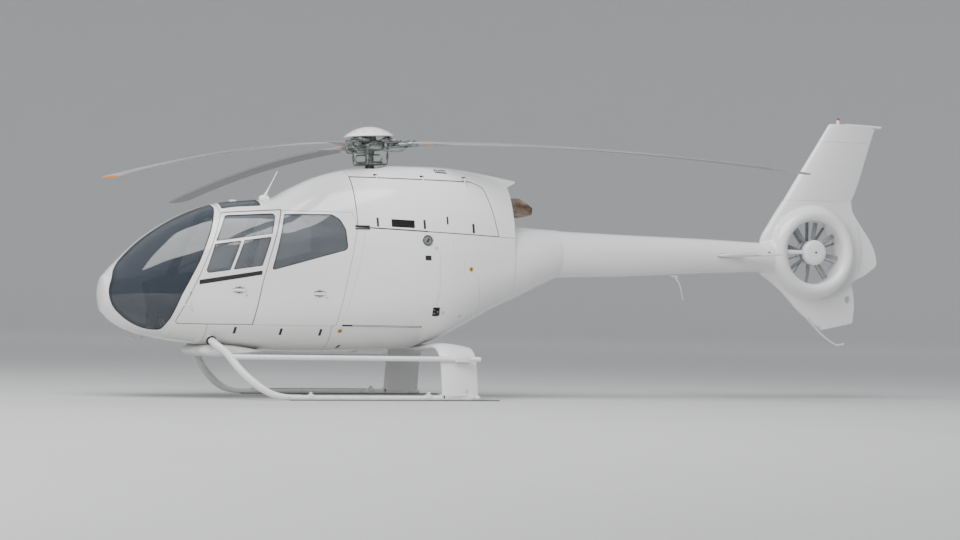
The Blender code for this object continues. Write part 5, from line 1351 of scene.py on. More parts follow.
plate_parts = [turned("upper_ring", ((0.052, -0.203), (0.140, -0.203), (0.150, -0.199), (0.150, -0.189),
    (0.140, -0.185), (0.052, -0.185)), steps=64), turned("lower_ring",
    ((0.052, -0.225), (0.150, -0.225), (0.153, -0.221), (0.153, -0.210), (0.150, -0.206), (0.052, -0.206)),
    steps=64)]
for bearing in BLADE_BEARINGS:
    link_parts = [rod("link", [(0.135, 0.0, -0.215), (0.190, 0.0, -0.215), (0.215, 0.0, -0.212),
        (0.222, 0.0, -0.190), (0.230, 0.0, -0.060), (0.230, 0.0, -0.0253)], 0.009,
        (1.2, 1.1, 1.2, 0.8, 0.8, 1.1), 16), rod("barrel", [(0.2225, 0.0, -0.165), (0.2245, 0.0, -0.145),
        (0.2260, 0.0, -0.110), (0.2275, 0.0, -0.090)], 0.013, (0.7, 1.0, 1.0, 0.7), 16),
        rod("rod_end", [(0.230, -0.012, -0.038), (0.230, 0.012, -0.038)], 0.014, None, 18)]
    for part in link_parts:
        part.data.transform(Matrix.Rotation(math.radians(bearing + 24.0), 4, "Z"))
    plate_parts += link_parts
    scissors = rod("scissors", [(0.145, 0.0, -0.195), (0.185, 0.0, -0.160), (0.150, 0.0, -0.115),
        (0.056, 0.0, -0.110)], 0.009, None, 14)
    scissors.data.transform(Matrix.Rotation(math.radians(bearing + 80.0), 4, "Z"))
    plate_parts.append(scissors)
on_mast(join("swashplate_and_links", plate_parts), hub_metal, "swashplate")
wires = []
for bearing in BLADE_BEARINGS:
    for side in (-1.0, 1.0):
        wire = rod("wire", [(0.130, side * 0.030, 0.058), (0.200, side * 0.060, 0.085),
            (0.300, side * 0.085, 0.050), (0.380, side * 0.080, 0.012), (0.430, side * 0.045, 0.010)],
            0.004, None, 10, 6)
        wire.data.transform(Matrix.Rotation(math.radians(bearing), 4, "Z"))
        wires.append(wire)
on_mast(join("rotor_head_wires", wires), rubber)
CAP_SPHERE = 0.430
cap_profile = [(0.0, 0.0903), (0.235, 0.0903), (0.280, 0.0920), (0.290, 0.0975)]
for radius in (0.286, 0.270, 0.245, 0.210, 0.170, 0.130, 0.090, 0.050, 0.0):
    cap_profile.append((radius, 0.210 - CAP_SPHERE + math.sqrt(CAP_SPHERE ** 2 - radius ** 2)))
on_mast(turned("hub_cap_dome", cap_profile, steps=96), white_paint, "hub_cap", angle=28.0)
on_mast(join("hub_cap_screws", [bolt((0.225 * math.cos(turn), 0.225 * math.sin(turn), 0.1475), 0.008, 0.006)
    for turn in turns(12)]), bright_metal)

# Rotor blades: composite, satin grey with a bare metal leading edge, an orange collar and an orange tip.
# Each is drooping under its own weight and bolted in its sleeve.
ROTOR_RADIUS = 5.000
BLADE_CHORD = 0.260
BLADE_DROOP = 0.455
BLADE_STATIONS = np.array((
    # radius, chord, thickness, pitch in degrees
    (SLEEVE_END + FIT_GAP, 0.070, 0.060, 0.0),
    (0.700, 0.080, 0.050, 0.0),
    (0.820, 0.130, 0.042, 4.0),
    (0.960, 0.250, 0.034, 8.0),
    (1.200, BLADE_CHORD, 0.032, 8.0),
    (2.200, BLADE_CHORD, 0.031, 6.0),
    (3.200, BLADE_CHORD, 0.030, 4.0),
    (4.200, BLADE_CHORD, 0.030, 2.0),
    (4.850, BLADE_CHORD, 0.028, 0.5),
    (ROTOR_RADIUS, 0.190, 0.018, 0.0),
))
ORANGE = (0.62, 0.22, 0.04)
blade_grey = Finish("blade_grey", "blade_grey", (0.30, 0.30, 0.305), 0.42)
from_mast = blade_grey.node("ShaderNodeVectorMath", dict(operation="LENGTH"),
    blade_grey.place(1.0, 1.0, 0.0), out=1)
streaky = blade_grey.noise(5.0, 5.0)
grey_coat = blade_grey.mix(streaky, (0.22, 0.22, 0.23), (0.35, 0.35, 0.36))
collar_band = (from_mast > 0.628) * (from_mast < 0.648)
tip_band = from_mast > (ROTOR_RADIUS - 0.035)
blade_grey.paint(collar_band + tip_band, grey_coat, ORANGE)
blade_grey.set("Roughness", streaky * 0.25 + 0.28)
blade_grey.bump(blade_grey.noise(300.0, 2.0), 0.0001, 0.4)
bare_edge = Finish("bare_leading_edge", "blade_grey", (0.50, 0.50, 0.51), 0.30, 0.9)
bare_edge.roughen(0.15, 0.35, 50.0, 5.0)
stations = np.concatenate([np.linspace(SLEEVE_END + FIT_GAP, 1.2, 22)[:-1], np.linspace(1.2, 4.85, 50)[:-1],
    np.linspace(4.85, ROTOR_RADIUS, 10)])
blade_rings = []
for radius, (chord, thickness, pitch) in zip(stations, smooth_rows(BLADE_STATIONS, stations)):
    sag = BLADE_DROOP * max(0.0, (radius - SLEEVE_END) / (ROTOR_RADIUS - SLEEVE_END)) ** 1.7
    turn = Matrix.Rotation(math.radians(-pitch), 2)
    flat = [turn @ Vector((along - chord * 0.3, across)) for along, across in wing_section(
        chord, thickness, 14)]
    blade_rings.append(np.array([(radius, -v.x, v.y - sag) for v in flat]))
first_blade = skin("blade_master", blade_rings)
for number, bearing in enumerate(BLADE_BEARINGS, start=1):
    blade = copy_of(first_blade, f"main_blade_{number}")
    on_mast(blade, (blade_grey, bare_edge), f"rotor_blade_{number}", bearing=bearing, angle=45.0)
    outward = mast_axes.to_3x3() @ Vector((math.cos(math.radians(bearing)), math.sin(math.radians(bearing)),
        0.0))
    leading = mast_axes.to_3x3() @ Vector((-math.sin(math.radians(bearing)),
        math.cos(math.radians(bearing)), 0.0))
    hub_centre = mast_axes.translation - Vector((0.0, 0.0, HOOK_PLATE_HEIGHT))
    for face in blade.data.polygons:
        here = face.center - hub_centre
        if here.dot(outward) > 1.05 and here.dot(leading) > BLADE_CHORD * 0.3 - 0.022:
            face.material_index = 1
bpy.data.objects.remove(first_blade, do_unlink=True)

# Landing gear: two tube skids whose front ends rise to the belly, painted white, with dark treads on top.
# Flat steel shoes run under them, and white saddles clamp on the fittings.
SKID_Y = 1.035
SKID_CENTRE_Z = 0.033
FRONT_LEG = (
    # x, y, height, share of the front leg's radius
    (-1.930, 0.400, 0.680, 1.0), (-1.940, 0.520, 0.645, 1.0), (-1.910, 0.610, 0.590, 1.0),
    (-1.820, 0.705, 0.510, 1.0), (-1.700, 0.830, 0.335, 1.0), (-1.590, 0.915, 0.215, 1.0),
    (-1.480, 0.980, 0.125, 0.96), (-1.370, 1.018, 0.066, 0.85), (-1.240, SKID_Y, 0.040, 0.72),
    (-1.120, SKID_Y, SKID_CENTRE_Z, 0.69), (0.940, SKID_Y, SKID_CENTRE_Z, 0.69),
    (0.962, SKID_Y, SKID_CENTRE_Z, 0.66), (0.980, SKID_Y, SKID_CENTRE_Z, 0.50))
FRONT_LEG_RADIUS = 0.042
worn_steel = Finish("worn_steel", "hub_metal", (0.26, 0.25, 0.24), 0.45, 0.8)
worn_steel.roughen(0.25, 0.4, 30.0, 5.0)
tread = Finish("skid_tread", "dark_trim", (0.030, 0.032, 0.036), 0.85)
tread.bump(tread.noise(350.0, 2.0), 0.0006)
tread.roughen(0.7, 0.2, 40.0)
for side, sign in SIDES:
    tube = rod("tube", [(x, sign * y, z) for x, y, z, share in FRONT_LEG], FRONT_LEG_RADIUS,
        [row[3] for row in FRONT_LEG], 28, 5)
    tube.name = f"skid_{side}_tube"
    fit(tube, skid_paint, f"skid_{side}")
    fit(box(f"skid_{side}_shoe", (-1.180, sign * SKID_Y - 0.022, 0.0),
        (1.210, sign * SKID_Y + 0.022, 0.012), 0.003), worn_steel)
    top = SKID_CENTRE_Z + FRONT_LEG_RADIUS * 0.69
    fit(box(f"skid_{side}_tread", (-1.060, sign * SKID_Y - 0.013, top - 0.004),
        (0.330, sign * SKID_Y + 0.013, top + 0.0022), 0.001), tread)
    saddles = []
    for x, length, height in ((-0.955, 0.060, 0.030), (0.384, 0.070, 0.034), (0.545, 0.050, 0.014),
            (0.640, 0.200, 0.010), (0.880, 0.060, 0.012)):
        saddles.append(box("saddle", (x - length / 2, sign * SKID_Y - 0.033, SKID_CENTRE_Z - 0.006),
            (x + length / 2, sign * SKID_Y + 0.033, top + 0.003), 0.006, 3))
        saddles.append(box("lug", (x - length / 4, sign * SKID_Y - 0.012, top),
            (x + length / 4, sign * SKID_Y + 0.012, top + height), 0.004, 3))
        saddles += [bolt((x + shift, sign * SKID_Y + across, top + 0.006), 0.006, 0.007)
            for shift in (-length * 0.36, length * 0.36) for across in (-0.022, 0.022)]
    fit(join(f"skid_{side}_saddles", saddles), skid_paint)
    bead = turned("seal", ((0.041, -0.010), (0.052, -0.014), (0.058, 0.0), (0.052, 0.014), (0.041, 0.010)),
        steps=32)
    bead.data.transform(Matrix.Translation((-1.938, sign * 0.545, 0.628))
        @ pointing((0.02, sign * 0.70, -0.42)))
    fit(bead, rubber).name = f"front_leg_{side}_seal"
    rings_on_leg = []
    for place, along in (((-1.760, 0.768, 0.422), (0.12, 0.125, -0.175)),
            ((-1.535, 0.948, 0.170), (0.11, 0.065, -0.09))):
        ring = turned("ring", ((0.0405, -0.006), (0.0440, -0.005), (0.0440, 0.005), (0.0405, 0.006)),
            steps=32)
        ring.data.transform(Matrix.Translation((place[0], sign * place[1], place[2]))
            @ pointing((along[0], sign * along[1], along[2])))
        rings_on_leg.append(ring)
    fit(join(f"front_leg_{side}_bands", rings_on_leg), skid_paint)

# Rear legs: one arch in a broad aerofoil fairing, a white moulding with fasteners along its lower edge.
# It passes under the belly and stands on the skids in saddles.
LEG_PATH = np.array((
    # along the arch, y, height of the arch's middle line
    (0.00, 0.000, 0.560), (0.40, 0.400, 0.575), (0.66, 0.660, 0.585), (0.80, 0.800, 0.565),
    (0.92, 0.905, 0.500), (1.04, 0.965, 0.400), (1.20, 1.000, 0.250), (1.34, 1.025, 0.120),
    (1.41, 1.035, 0.050)))
LEG_LEADING_X, LEG_CHORD, LEG_THICKNESS = 0.540, 0.420, 0.085
arch = smooth_rows(LEG_PATH, np.linspace(0.0, 1.41, 44))
line = [Vector((-y, z)) for y, z in arch[:0:-1]] + [Vector((y, z)) for y, z in arch]
leg_rings = []
for index, here in enumerate(line):
    along = (line[min(index + 1, len(line) - 1)] - line[max(index - 1, 0)]).normalized()
    normal = Vector((-along.y, along.x))
    leg_rings.append(np.array([(LEG_LEADING_X + x, (here + normal * across).x, (here + normal * across).y)
        for x, across in wing_section(LEG_CHORD, LEG_THICKNESS, 18)]))
legs = skin("rear_leg_fairing", leg_rings)
cut(legs, "DIFFERENCE", body_solid(-FIT_GAP))
fit(legs, skid_paint, "rear_legs", angle=45.0)
leg_bolts = []
for side, sign in SIDES:
    for x in (0.640, 0.700, 0.760, 0.820):
        for out_y, z in ((1.058, 0.120), (1.062, 0.100)):
            spot = bolt((0.0, 0.0, 0.0), 0.005, 0.005)
            spot.data.transform(Matrix.Translation((x, sign * out_y, z))
                @ Matrix.Rotation(-sign * math.pi / 2, 4, "X"))
            leg_bolts.append(spot)
fit(join("rear_leg_fasteners", leg_bolts), bright_metal)

# Step rails along both sides, from the front legs past the rear legs, and the fairing over the front tube.
# The rails are painted tube with flattened ends; the fairing is one canoe-shaped moulding.
STEP_FRONT = Vector((-1.770, 0.780, 0.458))
STEP_REAR = Vector((0.980, 1.045, 0.458))
for side, sign in SIDES:
    start, end = [Vector((place.x, sign * place.y, place.z)) for place in (STEP_FRONT, STEP_REAR)]
    run = (end - start).normalized()
    rail = rod("rail", [start, start + run * 0.02, end - run * 0.02, end], 0.028, (0.9, 1.0, 1.0, 0.9), 28)
    clamp = box("clamp", (0.690, sign * 1.028 - 0.034, 0.424), (0.860, sign * 1.028 + 0.034, 0.492), 0.010,
        3)
    fit(join(f"step_rail_{side}_tube", [rail, clamp]), skid_paint, f"step_rail_{side}")
    fit(join(f"step_rail_{side}_bolts", [bolt((x, sign * 1.028, 0.494), 0.009, 0.010)
        for x in (0.715, 0.775, 0.835)]), bright_metal)
    grip = rod("grip", [start + run * 0.10 + Vector((0, 0, 0.0245)),
        end - run * 0.40 + Vector((0, 0, 0.0245))], 0.0045, None, 8)
    fit(grip, tread).name = f"step_rail_{side}_grip"
FAIRING_SECTIONS = np.array((
    # y, leading x, trailing x, thickness
    (-0.520, -1.930, -1.430, 0.050), (-0.480, -2.010, -1.350, 0.110), (-0.380, -2.040, -1.320, 0.140),
    (0.380, -2.040, -1.320, 0.140), (0.480, -2.010, -1.350, 0.110), (0.520, -1.930, -1.430, 0.050)))
across_places = np.concatenate([np.linspace(-0.520, -0.380, 12)[:-1], np.linspace(-0.380, 0.380, 9)[:-1],
    np.linspace(0.380, 0.520, 12)])
fairing = skin("front_tube_canoe", [np.array([(lead + along, y, 0.515 + up)
    for along, up in wing_section(trail - lead, thick, 20)])
    for y, (lead, trail, thick) in zip(across_places, smooth_rows(FAIRING_SECTIONS, across_places))])
cut(fairing, "DIFFERENCE", body_solid(-FIT_GAP))
fit(fairing, skid_paint, "front_tube_fairing", angle=45.0)

# Engine, gearbox and exhaust on the deck behind the cabin: cast alloy, steel pipes, a heat-stained duct.
# They show when the cowling's doors are lifted; only the scarfed end of the exhaust stands outside.
cast_metal = Finish("cast_metal", "cast_metal", (0.36, 0.36, 0.35), 0.48, 0.7)
oil_film = cast_metal.noise(7.0, 5.0)
cast_metal.paint(oil_film.ramp(0.4, 0.75), (0.42, 0.42, 0.41), (0.16, 0.14, 0.12))
cast_metal.set("Roughness", oil_film * 0.4 + 0.25)
cast_metal.bump(cast_metal.noise(240.0, 3.0), 0.0004, 0.5)
burnt_steel = Finish("burnt_steel", "burnt_steel", (0.28, 0.21, 0.15), 0.42, 0.9)
heat = burnt_steel.noise(6.0, 5.0, (1.0, 1.0, 2.0))
heat_along = burnt_steel.axis("X").ramp(1.45, 1.95)
burnt_steel.paint(heat.ramp(0.35, 0.70), burnt_steel.mix(heat_along, (0.30, 0.27, 0.25),
    (0.44, 0.34, 0.25)), (0.15, 0.105, 0.075))
burnt_steel.set("Roughness", heat * 0.35 + 0.26)
burnt_steel.bump(burnt_steel.noise(90.0, 4.0), 0.0006, 0.4)
ENGINE_CENTRE = Vector((0.0, 0.0, 2.080))
DECK_SLOPE = (SEAM_REAR[1] - SEAM_FRONT[1]) / (SEAM_REAR[0] - SEAM_FRONT[0])


def deck_at(x):
    return SEAM_FRONT[1] + FIT_GAP + (x - SEAM_FRONT[0]) * DECK_SLOPE


engine_parts = [turned("compressor", ((0.0, 0.530), (0.070, 0.530), (0.090, 0.545), (0.092, 0.600),
    (0.125, 0.606), (0.125, 0.618), (0.095, 0.624), (0.150, 0.690), (0.190, 0.700), (0.190, 0.716),
    (0.176, 0.722), (0.176, 0.860), (0.196, 0.866), (0.196, 0.882), (0.150, 0.890), (0.0, 0.890)), "X",
    ENGINE_CENTRE, 64), box("accessories", (0.560, -0.150, 1.890), (0.880, 0.150, 2.010), 0.020, 3),
    box("control_unit", (0.620, 0.150, 2.060), (0.800, 0.235, 2.200), 0.008, 2)]
for x in (0.640, 0.820):
    engine_parts.append(box("mount", (x - 0.020, -0.235, deck_at(x - 0.03) + 0.001),
        (x + 0.020, 0.235, 1.900), 0.005))
for turn in turns(18):
    flange_bolt = bolt((0.0, 0.0, 0.0), 0.006, 0.008)
    flange_bolt.data.transform(Matrix.Translation((0.886, 0.186 * math.sin(turn),
        ENGINE_CENTRE.z + 0.186 * math.cos(turn))) @ Matrix.Rotation(math.pi / 2, 4, "Y"))
    engine_parts.append(flange_bolt)
engine_parts += [rod("starter", [(0.500 + reach, -0.120, 1.950) for reach in (0.020, 0.030, 0.100, 0.110)],
    0.055, (0.8, 1.0, 1.0, 0.8), 28), rod("drive_shaft", [(0.262, 0.0, ENGINE_CENTRE.z),
    (0.540, 0.0, ENGINE_CENTRE.z)], 0.026, None, 20)]
fit(join("engine_cold_section", engine_parts), cast_metal, "engine")
hot_parts = [turned("turbine", ((0.0, 0.8905), (0.188, 0.8905), (0.190, 0.900), (0.170, 0.910),
    (0.178, 1.060), (0.198, 1.070), (0.198, 1.082), (0.172, 1.090), (0.150, 1.180), (0.135, 1.240),
    (0.130, 1.295), (0.0, 1.300)), "X", ENGINE_CENTRE, 64), rod("jet_pipe",
    [(1.230, 0.0, 2.085), (1.270, 0.0, 2.120), (1.300, 0.0, 2.160), (1.3295, 0.0, 2.180)], 0.112, None, 40,
    4)]
for turn in turns(8, 0.2):
    spot = Vector((0.985, 0.176 * math.cos(turn), ENGINE_CENTRE.z + 0.176 * math.sin(turn)))
    hot_parts.append(rod("nozzle", [spot, spot + Vector((0.0, 0.030 * math.cos(turn),
        0.030 * math.sin(turn)))], 0.011, (1.0, 0.7), 14))
fit(join("engine_hot_section", hot_parts), burnt_steel)
pipes = [rod("pipe", points, radius, None, 12, 8) for points, radius in (
    (((0.600, -0.160, 1.920), (0.700, -0.205, 1.960), (0.900, -0.215, 2.050), (0.960, -0.190, 2.130)),
    0.007), (((0.600, 0.160, 1.920), (0.720, 0.205, 1.980), (0.900, 0.215, 2.080), (0.980, 0.185, 2.150)),
    0.007), (((0.620, -0.100, 1.990), (0.680, -0.180, 2.080), (0.760, -0.205, 2.180),
    (0.860, -0.120, 2.270)), 0.010), (((0.250, -0.090, 1.980), (0.360, -0.160, 1.940),
    (0.450, -0.190, 1.930), (0.580, -0.150, 1.940)), 0.012))]
fit(join("engine_pipes", pipes), rubber)
gearbox_profile = ((0.0, -0.620), (0.250, -0.620), (0.256, -0.600), (0.256, -0.520), (0.240, -0.510),
    (0.240, -0.420), (0.258, -0.412), (0.258, -0.394), (0.235, -0.384), (0.196, -0.285), (0.200, -0.270),
    (0.170, -0.240), (0.132, -0.175), (0.124, -0.160), (0.112, -0.040), (0.108, 0.0), (0.0, 0.0))
gearbox_parts = [turned("case", gearbox_profile, steps=72)]
for turn in turns(16):
    gearbox_parts.append(bolt((0.247 * math.cos(turn), 0.247 * math.sin(turn), -0.388), 0.007, 0.010))
    rib = box("rib", (0.110, -0.005, -0.380), (0.225, 0.005, -0.235), 0.002)
    edit(rib, (bpy.ops.mesh.bisect, dict(plane_co=(0.235, 0.0, -0.380), plane_no=(0.83, 0.0, 0.56),
        use_fill=True, clear_outer=True)))
    rib.data.transform(Matrix.Rotation(turn + 0.1, 4, "Z"))
    gearbox_parts.append(rib)
gearbox = join("main_gearbox_case", gearbox_parts)
gearbox.data.transform(Matrix.Translation(MAST_FOOT) @ Matrix.Rotation(-MAST_TILT, 4, "Y"))
edit(gearbox, (bpy.ops.mesh.bisect, dict(plane_co=(0.0, 0.0, deck_at(0.0)),
    plane_no=(-DECK_SLOPE, 0.0, 1.0), use_fill=True, clear_inner=True)))
fit(gearbox, cast_metal, "main_gearbox")
exhaust = turned("exhaust_duct", ((EXHAUST_RADIUS - 0.005, 0.0), (EXHAUST_RADIUS, 0.0),
    (EXHAUST_RADIUS, 0.020), (EXHAUST_RADIUS - 0.0015, 0.024), (EXHAUST_RADIUS - 0.0015, 0.600),
    (EXHAUST_RADIUS - 0.005, 0.600)), "X", (1.3303, 0.0, 2.180), 96)
cut(exhaust, "INTERSECT", region("end", ((1.770, 2.6), (1.770, 2.310), (2.010, 2.120), (1.760, 2.060),
    (1.5, 2.0), (1.2, 2.0), (1.2, 2.6)), -0.3, 0.3))
fit(exhaust, burnt_steel, "exhaust_pipe")

# Seats: white moulded shells with grey cloth cushions, foam filled and sewn in channels, dark harnesses.
# Each cushion's cover is blown up a little over its foam, and the channels are pressed in after that.
ON_FLOOR = FLOOR_HEIGHT + FIT_GAP
SEAT_Y = 0.350
seat_cloth = Finish("seat_cloth", "seat_cloth", (0.30, 0.31, 0.33), 0.9, Sheen_Weight=0.25)
weave = seat_cloth.node("ShaderNodeTexWave", dict(wave_type="BANDS"), seat_cloth.place(), Scale=160.0)
weave_across = seat_cloth.node("ShaderNodeTexWave", dict(wave_type="BANDS", bands_direction="Z"),
    seat_cloth.place(), Scale=160.0)
seat_cloth.paint(seat_cloth.noise(5.0, 4.0), (0.25, 0.26, 0.28), (0.38, 0.39, 0.41))
seat_cloth.roughen(0.8, 0.15, 30.0)
seat_cloth.bump(weave + weave_across, 0.0006, 0.6)
webbing = Finish("harness_webbing", "dark_trim", (0.04, 0.042, 0.05), 0.8)
webbing.roughen(0.65, 0.2, 50.0)
webbing.bump(webbing.node("ShaderNodeTexWave", dict(bands_direction="Z"), webbing.place(), Scale=220.0),
    0.0005)


def plump(obj, lines, most=0.012, voxel=0.0095):
    """A cushion's cover: remeshed, blown up within a limit, then sewn in at some places across Y."""
    finish_with(obj, "REMESH", mode="VOXEL", voxel_size=voxel)
    before = read(obj.data.vertices, "co", 3)
    cloth = obj.modifiers.new("cover", "CLOTH")
    cloth.settings.use_pressure = True
    cloth.settings.uniform_pressure_force = 4.0
    cloth.settings.effector_weights.gravity = 0.0
    for frame_number in range(1, 17):
        bpy.context.scene.frame_set(frame_number)
    bpy.context.view_layer.objects.active = obj
    bpy.ops.object.modifier_apply(modifier=cloth.name)
    bpy.context.scene.frame_set(1)
    moved = read(obj.data.vertices, "co", 3) - before
    reach = np.maximum(np.linalg.norm(moved, axis=1), 1e-9)[:, None]
    after = before + moved * np.minimum(1.0, most / reach)
    obj.data.vertices.foreach_set("co", after.ravel())
    obj.data.update()
    normals = read(obj.data.vertices, "normal", 3)
    for line in lines:
        near = np.exp(-((after[:, 1] - line) / 0.007) ** 2)[:, None]
        after = after - normals * near * 0.006
    obj.data.vertices.foreach_set("co", after.ravel())
    obj.data.update()
    return finish_with(obj, "SUBSURF", levels=1, render_levels=1)


def cushion(name, low, high, lines, lean=0.0, foot=(0.0, 0.0, 0.0)):
    """A crowned cushion; lean turns it back about Y, and foot is where its lower edge then stands."""
    obj = box(name, low, high, 0.024, 4)
    edit(obj, (bpy.ops.mesh.subdivide, dict(number_cuts=2)))
    plump(obj, lines)
    obj.data.transform(Matrix.Translation(foot) @ Matrix.Rotation(lean, 4, "Y"))
    return obj


seat_base = cushion("seat_base", (-1.935, -0.200, 1.075), (-1.500, 0.200, 1.160), (-0.095, 0.0, 0.095))
seat_back = cushion("seat_back", (-0.085, -0.190, 0.015), (-0.020, 0.190, 0.630), (-0.090, 0.0, 0.090),
    math.radians(15.5), (-1.432, 0.0, 1.170))
for side, sign in SIDES:
    moved = Matrix.Translation((0.0, sign * SEAT_Y, 0.0))
    bucket = board(f"front_seat_{side}_shell", rounded(((-1.958, 0.930, 0.02), (-1.895, 0.905, 0.02),
        (-1.870, ON_FLOOR), (-1.430, ON_FLOOR), (-1.404, 1.050, 0.05), (-1.226, 1.832, 0.015),
        (-1.262, 1.845, 0.015), (-1.428, 1.110, 0.05), (-1.500, 1.050, 0.03), (-1.955, 1.055, 0.015))),
        "XZ", sign * SEAT_Y - 0.215, sign * SEAT_Y + 0.215)
    finish_with(bucket, "BEVEL", width=0.006, segments=2, limit_method="ANGLE")
    fit(bucket, skid_paint, f"front_seat_{side}")
    for part, first in (("base", seat_base), ("back", seat_back)):
        piece = copy_of(first, f"front_seat_{side}_{part}_cushion")
        piece.data.transform(moved)
        fit(piece, seat_cloth, angle=80.0)
    rest = egg("rest", (0.030, 0.085, 0.050))
    rest.data.transform(Matrix.Translation((-1.325, sign * SEAT_Y, 1.790)))
    fit(rest, seat_cloth).name = f"front_seat_{side}_head_rest"
    for number, shift in enumerate((-0.075, 0.075)):
        path = [((-1.345, sign * SEAT_Y + shift, 1.800), (-1.0, 0.0, 0.2))]
        for height in np.linspace(1.780, 1.260, 12):
            path.append(((-1.546 + (height - 1.180) * 0.276 - 0.008,
                sign * SEAT_Y + shift * (0.45 + 0.55 * (height - 1.26) / 0.54), height), (-1.0, 0.0, 0.28)))
        strip_on(f"front_seat_{side}_strap_{number}", path, 0.022, 0.003, webbing)
bpy.data.objects.remove(seat_base, do_unlink=True)
bpy.data.objects.remove(seat_back, do_unlink=True)
fit(box("rear_bench_box", (-0.935, -0.585, ON_FLOOR), (BULKHEAD_X - 0.001, 0.585, 1.045), 0.012, 3),
    skid_paint, "rear_bench")
bench_lines = (-0.390, -0.195, 0.0, 0.195, 0.390)
for name, piece in (("rear_bench_base_cushion", cushion("bench_base", (-0.950, -0.575, 1.060),
        (-0.500, 0.575, 1.128), bench_lines)), ("rear_bench_back_cushion",
        cushion("bench_back", (-0.465, -0.575, 1.150), (-0.395, 0.575, 1.615), bench_lines))):
    piece.name = name
    fit(piece, seat_cloth, angle=80.0)

# Instruments and controls: a dark moulded pedestal with two screens and a row of round instruments.
# The sticks, levers and pedals are painted tube with rubber grips.
console = board("instrument_console", rounded(((-2.438, 0.500), (-2.282, 0.500), (-2.202, 0.980, 0.02),
    (-2.332, 1.060, 0.02), (-2.272, 1.298, 0.02), (-2.340, 1.328, 0.02), (-2.558, 1.250, 0.03),
    (-2.498, 0.980, 0.03))), "XZ", -0.149, 0.149)
cut(console, "INTERSECT", body_solid(CABIN_WALL + 2 * FIT_GAP))
finish_with(console, "BEVEL", width=0.006, segments=2, limit_method="ANGLE")
fit(console, cabin_trim, "instrument_panel")
panel_axes = Matrix.Translation((-2.301, 0.0, 1.180)) @ Matrix.Rotation(math.radians(14.0), 4, "Y")
screen_glass = Finish("screen_glass", "dark_trim", (0.012, 0.016, 0.020), 0.05, Coat_Weight=1.0)
screen_glass.roughen(0.04, 0.06, 8.0)
frames, screens = [], []
for y in (-0.073, 0.073):
    frames.append(box("frame", (-0.006, y - 0.066, -0.050), (0.008, y + 0.066, 0.070), 0.003))
    screens.append(box("screen", (0.006, y - 0.055, -0.040), (0.0095, y + 0.055, 0.060), 0.001))
for y in (-0.110, -0.055, 0.0, 0.055, 0.110):
    frames.append(turned("dial", ((0.0, -0.004), (0.021, -0.004), (0.021, 0.008), (0.017, 0.008),
        (0.016, 0.005), (0.0, 0.005)), "X", (0.0, y, -0.082), 28))
for piece, finish in ((join("screen_frames", frames), rubber), (join("screens", screens), screen_glass)):
    piece.data.transform(panel_axes)
    fit(piece, finish)
knobs = [turned("knob", ((0.0, 0.0), (0.009, 0.0), (0.008, 0.012), (0.0, 0.013)), "Z", (x, y, 0.0), 16)
    for x in (-0.040, 0.0, 0.040) for y in (-0.090, -0.030, 0.030, 0.090)]
knobs = join("pedestal_knobs", knobs)
knobs.data.transform(Matrix.Translation((-2.267, 0.0, 1.0195))
    @ Matrix.Rotation(math.radians(31.6), 4, "Y"))
fit(knobs, rubber)
grips, levers = [], []
for side, sign in SIDES:
    y = sign * SEAT_Y
    levers.append(rod("stick", [(-2.060, y, 0.620), (-2.070, y, 0.820), (-2.085, y, 1.000),
        (-2.040, y, 1.140), (-2.010, y, 1.190)], 0.010, None, 14, 6))
    levers.append(rod("lever", [(-1.560, y - 0.245, 0.840), (-1.660, y - 0.245, 0.960),
        (-1.780, y - 0.245, 1.030)], 0.011, None, 14, 6))
    grips.append(rod("grip", [(-2.014, y, 1.180), (-2.000, y, 1.215), (-1.985, y, 1.270),
        (-1.990, y, 1.300)], 0.016, (0.9, 1.1, 1.1, 0.8), 16, 4))
    grips.append(rod("grip", [(-1.760, y - 0.245, 1.020), (-1.880, y - 0.245, 1.075)], 0.016, (0.95, 1.05),
        16))
    for shift in (-0.080, 0.080):
        levers.append(rod("pedal_arm", [(-2.380, y * 0.8 + shift, 0.690), (-2.440, y * 0.8 + shift, 0.860)],
            0.008, None, 12))
        grips.append(box("pedal", (-2.452, y * 0.8 + shift - 0.035, 0.850),
            (-2.440, y * 0.8 + shift + 0.035, 0.930), 0.004))
fit(join("control_levers", levers), skid_paint)
fit(join("control_grips", grips), rubber)

# Small fittings on the cabin and the rear fuselage: slots, latches, rails, fuel filler, sockets, marks.
# They are pressed metal, rubber and paint, set flush or standing a millimetre or two off the skin; the
# slots and the lower rail's grooves are painted shade, dark patches and strips on the skin.
gold_paint = Finish("gold_paint", "dark_trim", (0.55, 0.34, 0.03), 0.35)
gold_paint.roughen(0.28, 0.2, 60.0)


def slot_outline(x, z, half_width, half_height, slant=0.0):
    return [(x + a * half_width + b * slant, z + b * half_height)
        for a, b in ((-1, -1), (1, -1), (1, 1), (-1, 1))]


def patches(name, outlines, limits=(-OUT, OUT), proud=0.0008, body="root"):
    """Thin raised patches with these outlines in the side view."""
    tools = [region("tool", outline, *limits) for outline in outlines]
    return band(name, join("tools", tools), None, -proud, proud + 0.003, body=body)
